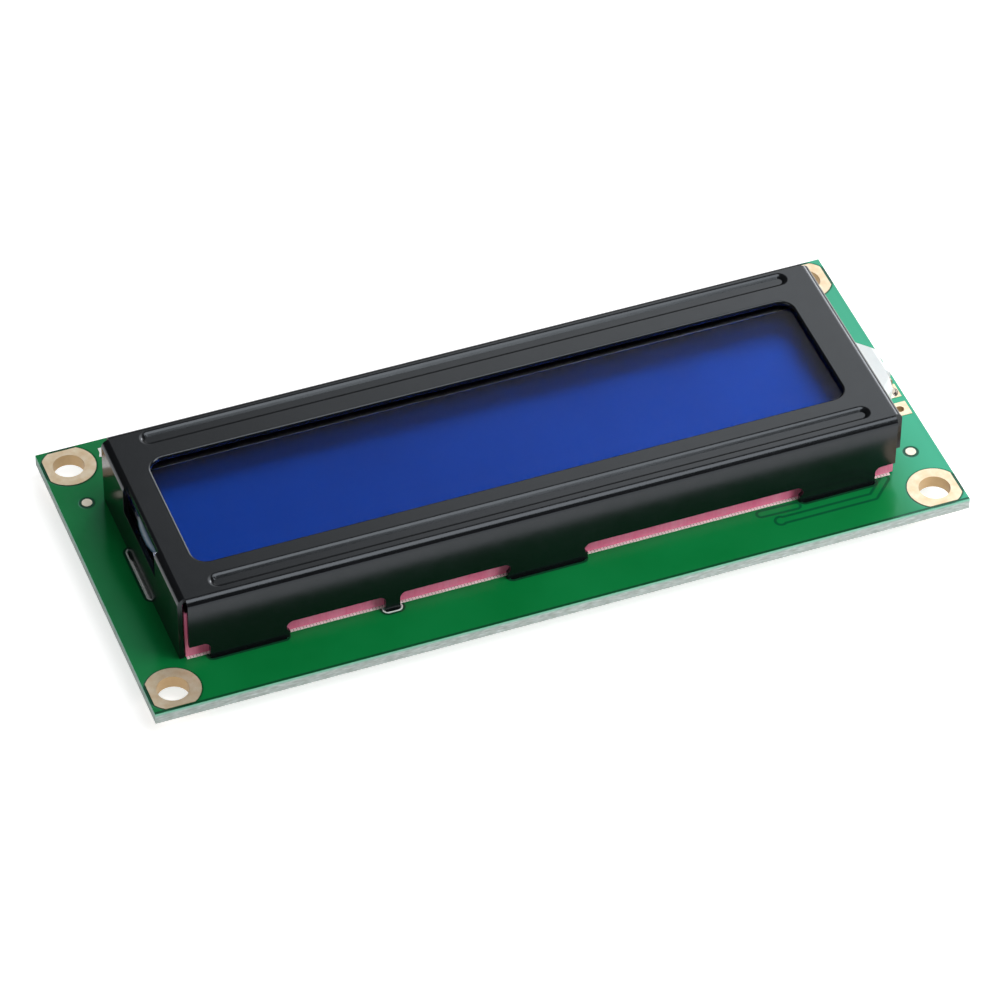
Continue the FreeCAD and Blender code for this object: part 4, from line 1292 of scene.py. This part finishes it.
@dataclass
class BackParts(Assembly):
    """Resin covers and chips on the board's back."""

    sink: float = 0.02 * MM
    dome_sides: int = 64
    dome_angle: float = 50.0
    chip_round: float = 0.06 * MM
    chip_angle: float = 40.0

    def dome(self, node: str) -> Piece:
        """Smooth low dome of resin in place of a faceted one, its flat side sunk into the board.

        Args:
            node: the faceted cover.

        Returns:
            The dome.
        """
        low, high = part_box(node)
        piece = new_half_ball(node.replace("blob", "dome"), low, high, AXIS_Z, self.dome_sides)
        with editing(piece, "VERT"):
            choose(piece, "verts", lambda v: v.co.z > high.z - TINY)
            bpy.ops.transform.translate(value=AXIS_Z * self.sink)
        return smooth(outward(piece), self.dome_angle)

    def add_chip(self, node: str, slot: Slot, colour: Colour, second: Colour) -> None:
        """Makes a small chip with softened edges in place of a plain one.

        Args:
            node: the plain chip.
            slot: the record's slot of its body.
            colour: its body's colour.
            second: the colour that it varies to.
        """
        low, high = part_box(node)
        piece = new_block(f"{node}_chip", low, high)
        round_edges(piece, lambda e: True, self.chip_round)
        finish = ChipFinish(f"{node}_body", colour, second, middle=(low.x + high.x) / 2)
        self.hand_over(smooth(piece, self.chip_angle), finish.build(self.effects), slot, node)

    def build(self) -> None:
        """Makes the domes and the chips."""
        resin = moulded("black_resin", (0.010, 0.010, 0.011), (0.018, 0.018, 0.019), 3 * MM, (0.16, 0.28),
                        ("Coat_Weight", 0.2), bumps=2.5 * MM, depth=0.03 * MM).build(self.effects)
        for node in ("controller_blob", "driver_blob"):
            self.hand_over(self.dome(node), resin, Slot.BLOB, node)
        resistors = [f"ladder_resistor_{number}" for number in range(1, 6)] + ["oscillator_resistor", "lamp_resistor"]
        for node in resistors:
            self.add_chip(node, Slot.RESISTOR, (0.018, 0.018, 0.020), (0.028, 0.028, 0.031))
        self.add_chip("supply_capacitor", Slot.CAPACITOR, (0.36, 0.25, 0.16), (0.42, 0.30, 0.20))


# Studio


@dataclass(frozen=True)
class Lamp:
    """One soft studio lamp, aimed at a point."""

    name: str
    place: Colour
    size: Point
    power: float
    aim: Colour = (0.0, 0.0, 0.0)


@dataclass
class Studio:
    """Pale floor, soft lamps and the camera at the photograph's angle."""

    lens_per_frame: float = 5.553
    sensor: float = 36.0
    azimuth: float = -21.154
    elevation: float = 43.96
    roll: float = 0.526
    distance: float = 519.72 * MM
    target: Colour = (-0.743 * MM, -1.691 * MM, 1.5 * MM)
    clip: Point = (0.01, 20.0)
    floor_size: float = 6.0
    floor_colour: Colour = (0.58, 0.58, 0.58)
    floor_roughness: float = 0.8
    floor_glow: float = 0.72
    lamps: tuple[Lamp, ...] = (
        Lamp("top_softbox", (0.11, -0.09, 0.43), (0.30, 0.32), 1.15),
        Lamp("side_softbox", (0.20, -0.14, 0.12), (0.14, 0.14), 0.52, (0.02, -0.01, 0.0)),
        Lamp("left_softbox", (-0.30, -0.12, 0.10), (0.20, 0.12), 0.22),
        Lamp("back_softbox", (0.26, 0.27, 0.145), (0.12, 0.12), 0.26),
    )
    room: float = 0.05
    glow: float = 2.35
    glow_from: Colour = (0.55, 0.62, 0.56)
    glow_start: float = 0.903
    glow_full: float = 0.990

    def floor(self) -> None:
        """Plain floor that keeps the module's shadow, and is white to the camera, in metal and in glass."""
        clear_selection()
        bpy.ops.mesh.primitive_plane_add(size=self.floor_size)
        floor = placed("studio_floor")
        recipe = Recipe("pale_floor")
        rays = recipe.node("LightPath").node.outputs
        seen = recipe.highest([rays[name] for name in ("Is Camera Ray", "Is Glossy Ray", "Is Transmission Ray")])
        recipe.feed(Base_Color=self.floor_colour, Roughness=self.floor_roughness, Specular_IOR_Level=0.0,
                    Emission_Color=WHITE, Emission_Strength=recipe.maths("MULTIPLY", seen, self.floor_glow))
        floor.data.materials.append(recipe.material)

    def room_light(self) -> None:
        """Dim light from all round, with a soft bright patch behind the module on its right."""
        world = bpy.data.worlds.new("studio_room")
        bpy.context.scene.world = world
        world.use_nodes = True
        wiring = Wiring(world.node_tree)
        background = world.node_tree.nodes["Background"]
        turn = wiring.vector("NORMALIZE", wiring.node("TexCoord", out="Object"))
        near = wiring.vector("DOT_PRODUCT", turn, Vector(self.glow_from).normalized(), out="Value")
        strength = wiring.node("MapRange", near, self.glow_start, self.glow_full, self.room, self.glow,
                               interpolation_type="SMOOTHSTEP")
        wiring.put(WHITE, background.inputs["Color"])
        wiring.put(strength, background.inputs["Strength"])

    def light(self) -> None:
        """Places the soft lamps."""
        for lamp in self.lamps:
            data = bpy.data.lights.new(lamp.name, "AREA")
            data.shape = "RECTANGLE"
            data.size, data.size_y = lamp.size
            data.energy = lamp.power
            holder = bpy.data.objects.new(lamp.name, data)
            bpy.context.scene.collection.objects.link(holder)
            holder.location = lamp.place
            away = Vector(lamp.place) - Vector(lamp.aim)
            holder.rotation_euler = away.to_track_quat("Z", "Y").to_euler()
            holder.visible_camera = False

    def camera(self) -> None:
        """Places the camera."""
        azimuth, elevation, roll = (math.radians(angle) for angle in (self.azimuth, self.elevation, self.roll))
        back = Vector((math.sin(azimuth) * math.cos(elevation), -math.cos(azimuth) * math.cos(elevation),
                       math.sin(elevation)))
        right = (-back).cross(AXIS_Z).normalized()
        up = right.cross(-back)
        turned = math.cos(roll) * right + math.sin(roll) * up
        raised = -math.sin(roll) * right + math.cos(roll) * up
        data = bpy.data.cameras.new("camera")
        data.sensor_width = self.sensor
        data.sensor_fit = "HORIZONTAL"
        data.lens = self.sensor * self.lens_per_frame
        data.clip_start, data.clip_end = self.clip
        holder = bpy.data.objects.new("camera", data)
        bpy.context.scene.collection.objects.link(holder)
        place = Matrix.Translation(Vector(self.target) + back * self.distance)
        holder.matrix_world = place @ Matrix((turned, raised, back)).transposed().to_4x4()
        bpy.context.scene.camera = holder

    def build(self) -> None:
        """Sets up the studio."""
        self.floor()
        self.room_light()
        self.light()
        self.camera()
        bpy.context.scene.view_settings.view_transform = "Standard"


def main() -> None:
    """Builds the studio and every sub-assembly in order."""
    logging.basicConfig(level=logging.INFO, format="%(message)s")
    Studio().build()
    effects = Effects()
    for assembly in (PressedFrame, CircuitBoard, StripConnectors, DisplayCell, Backlight, BackTracks, BackParts):
        log.info("building %s", assembly.__name__)
        assembly(effects).build()
    clear_selection()


if __name__ == "__main__":
    main()
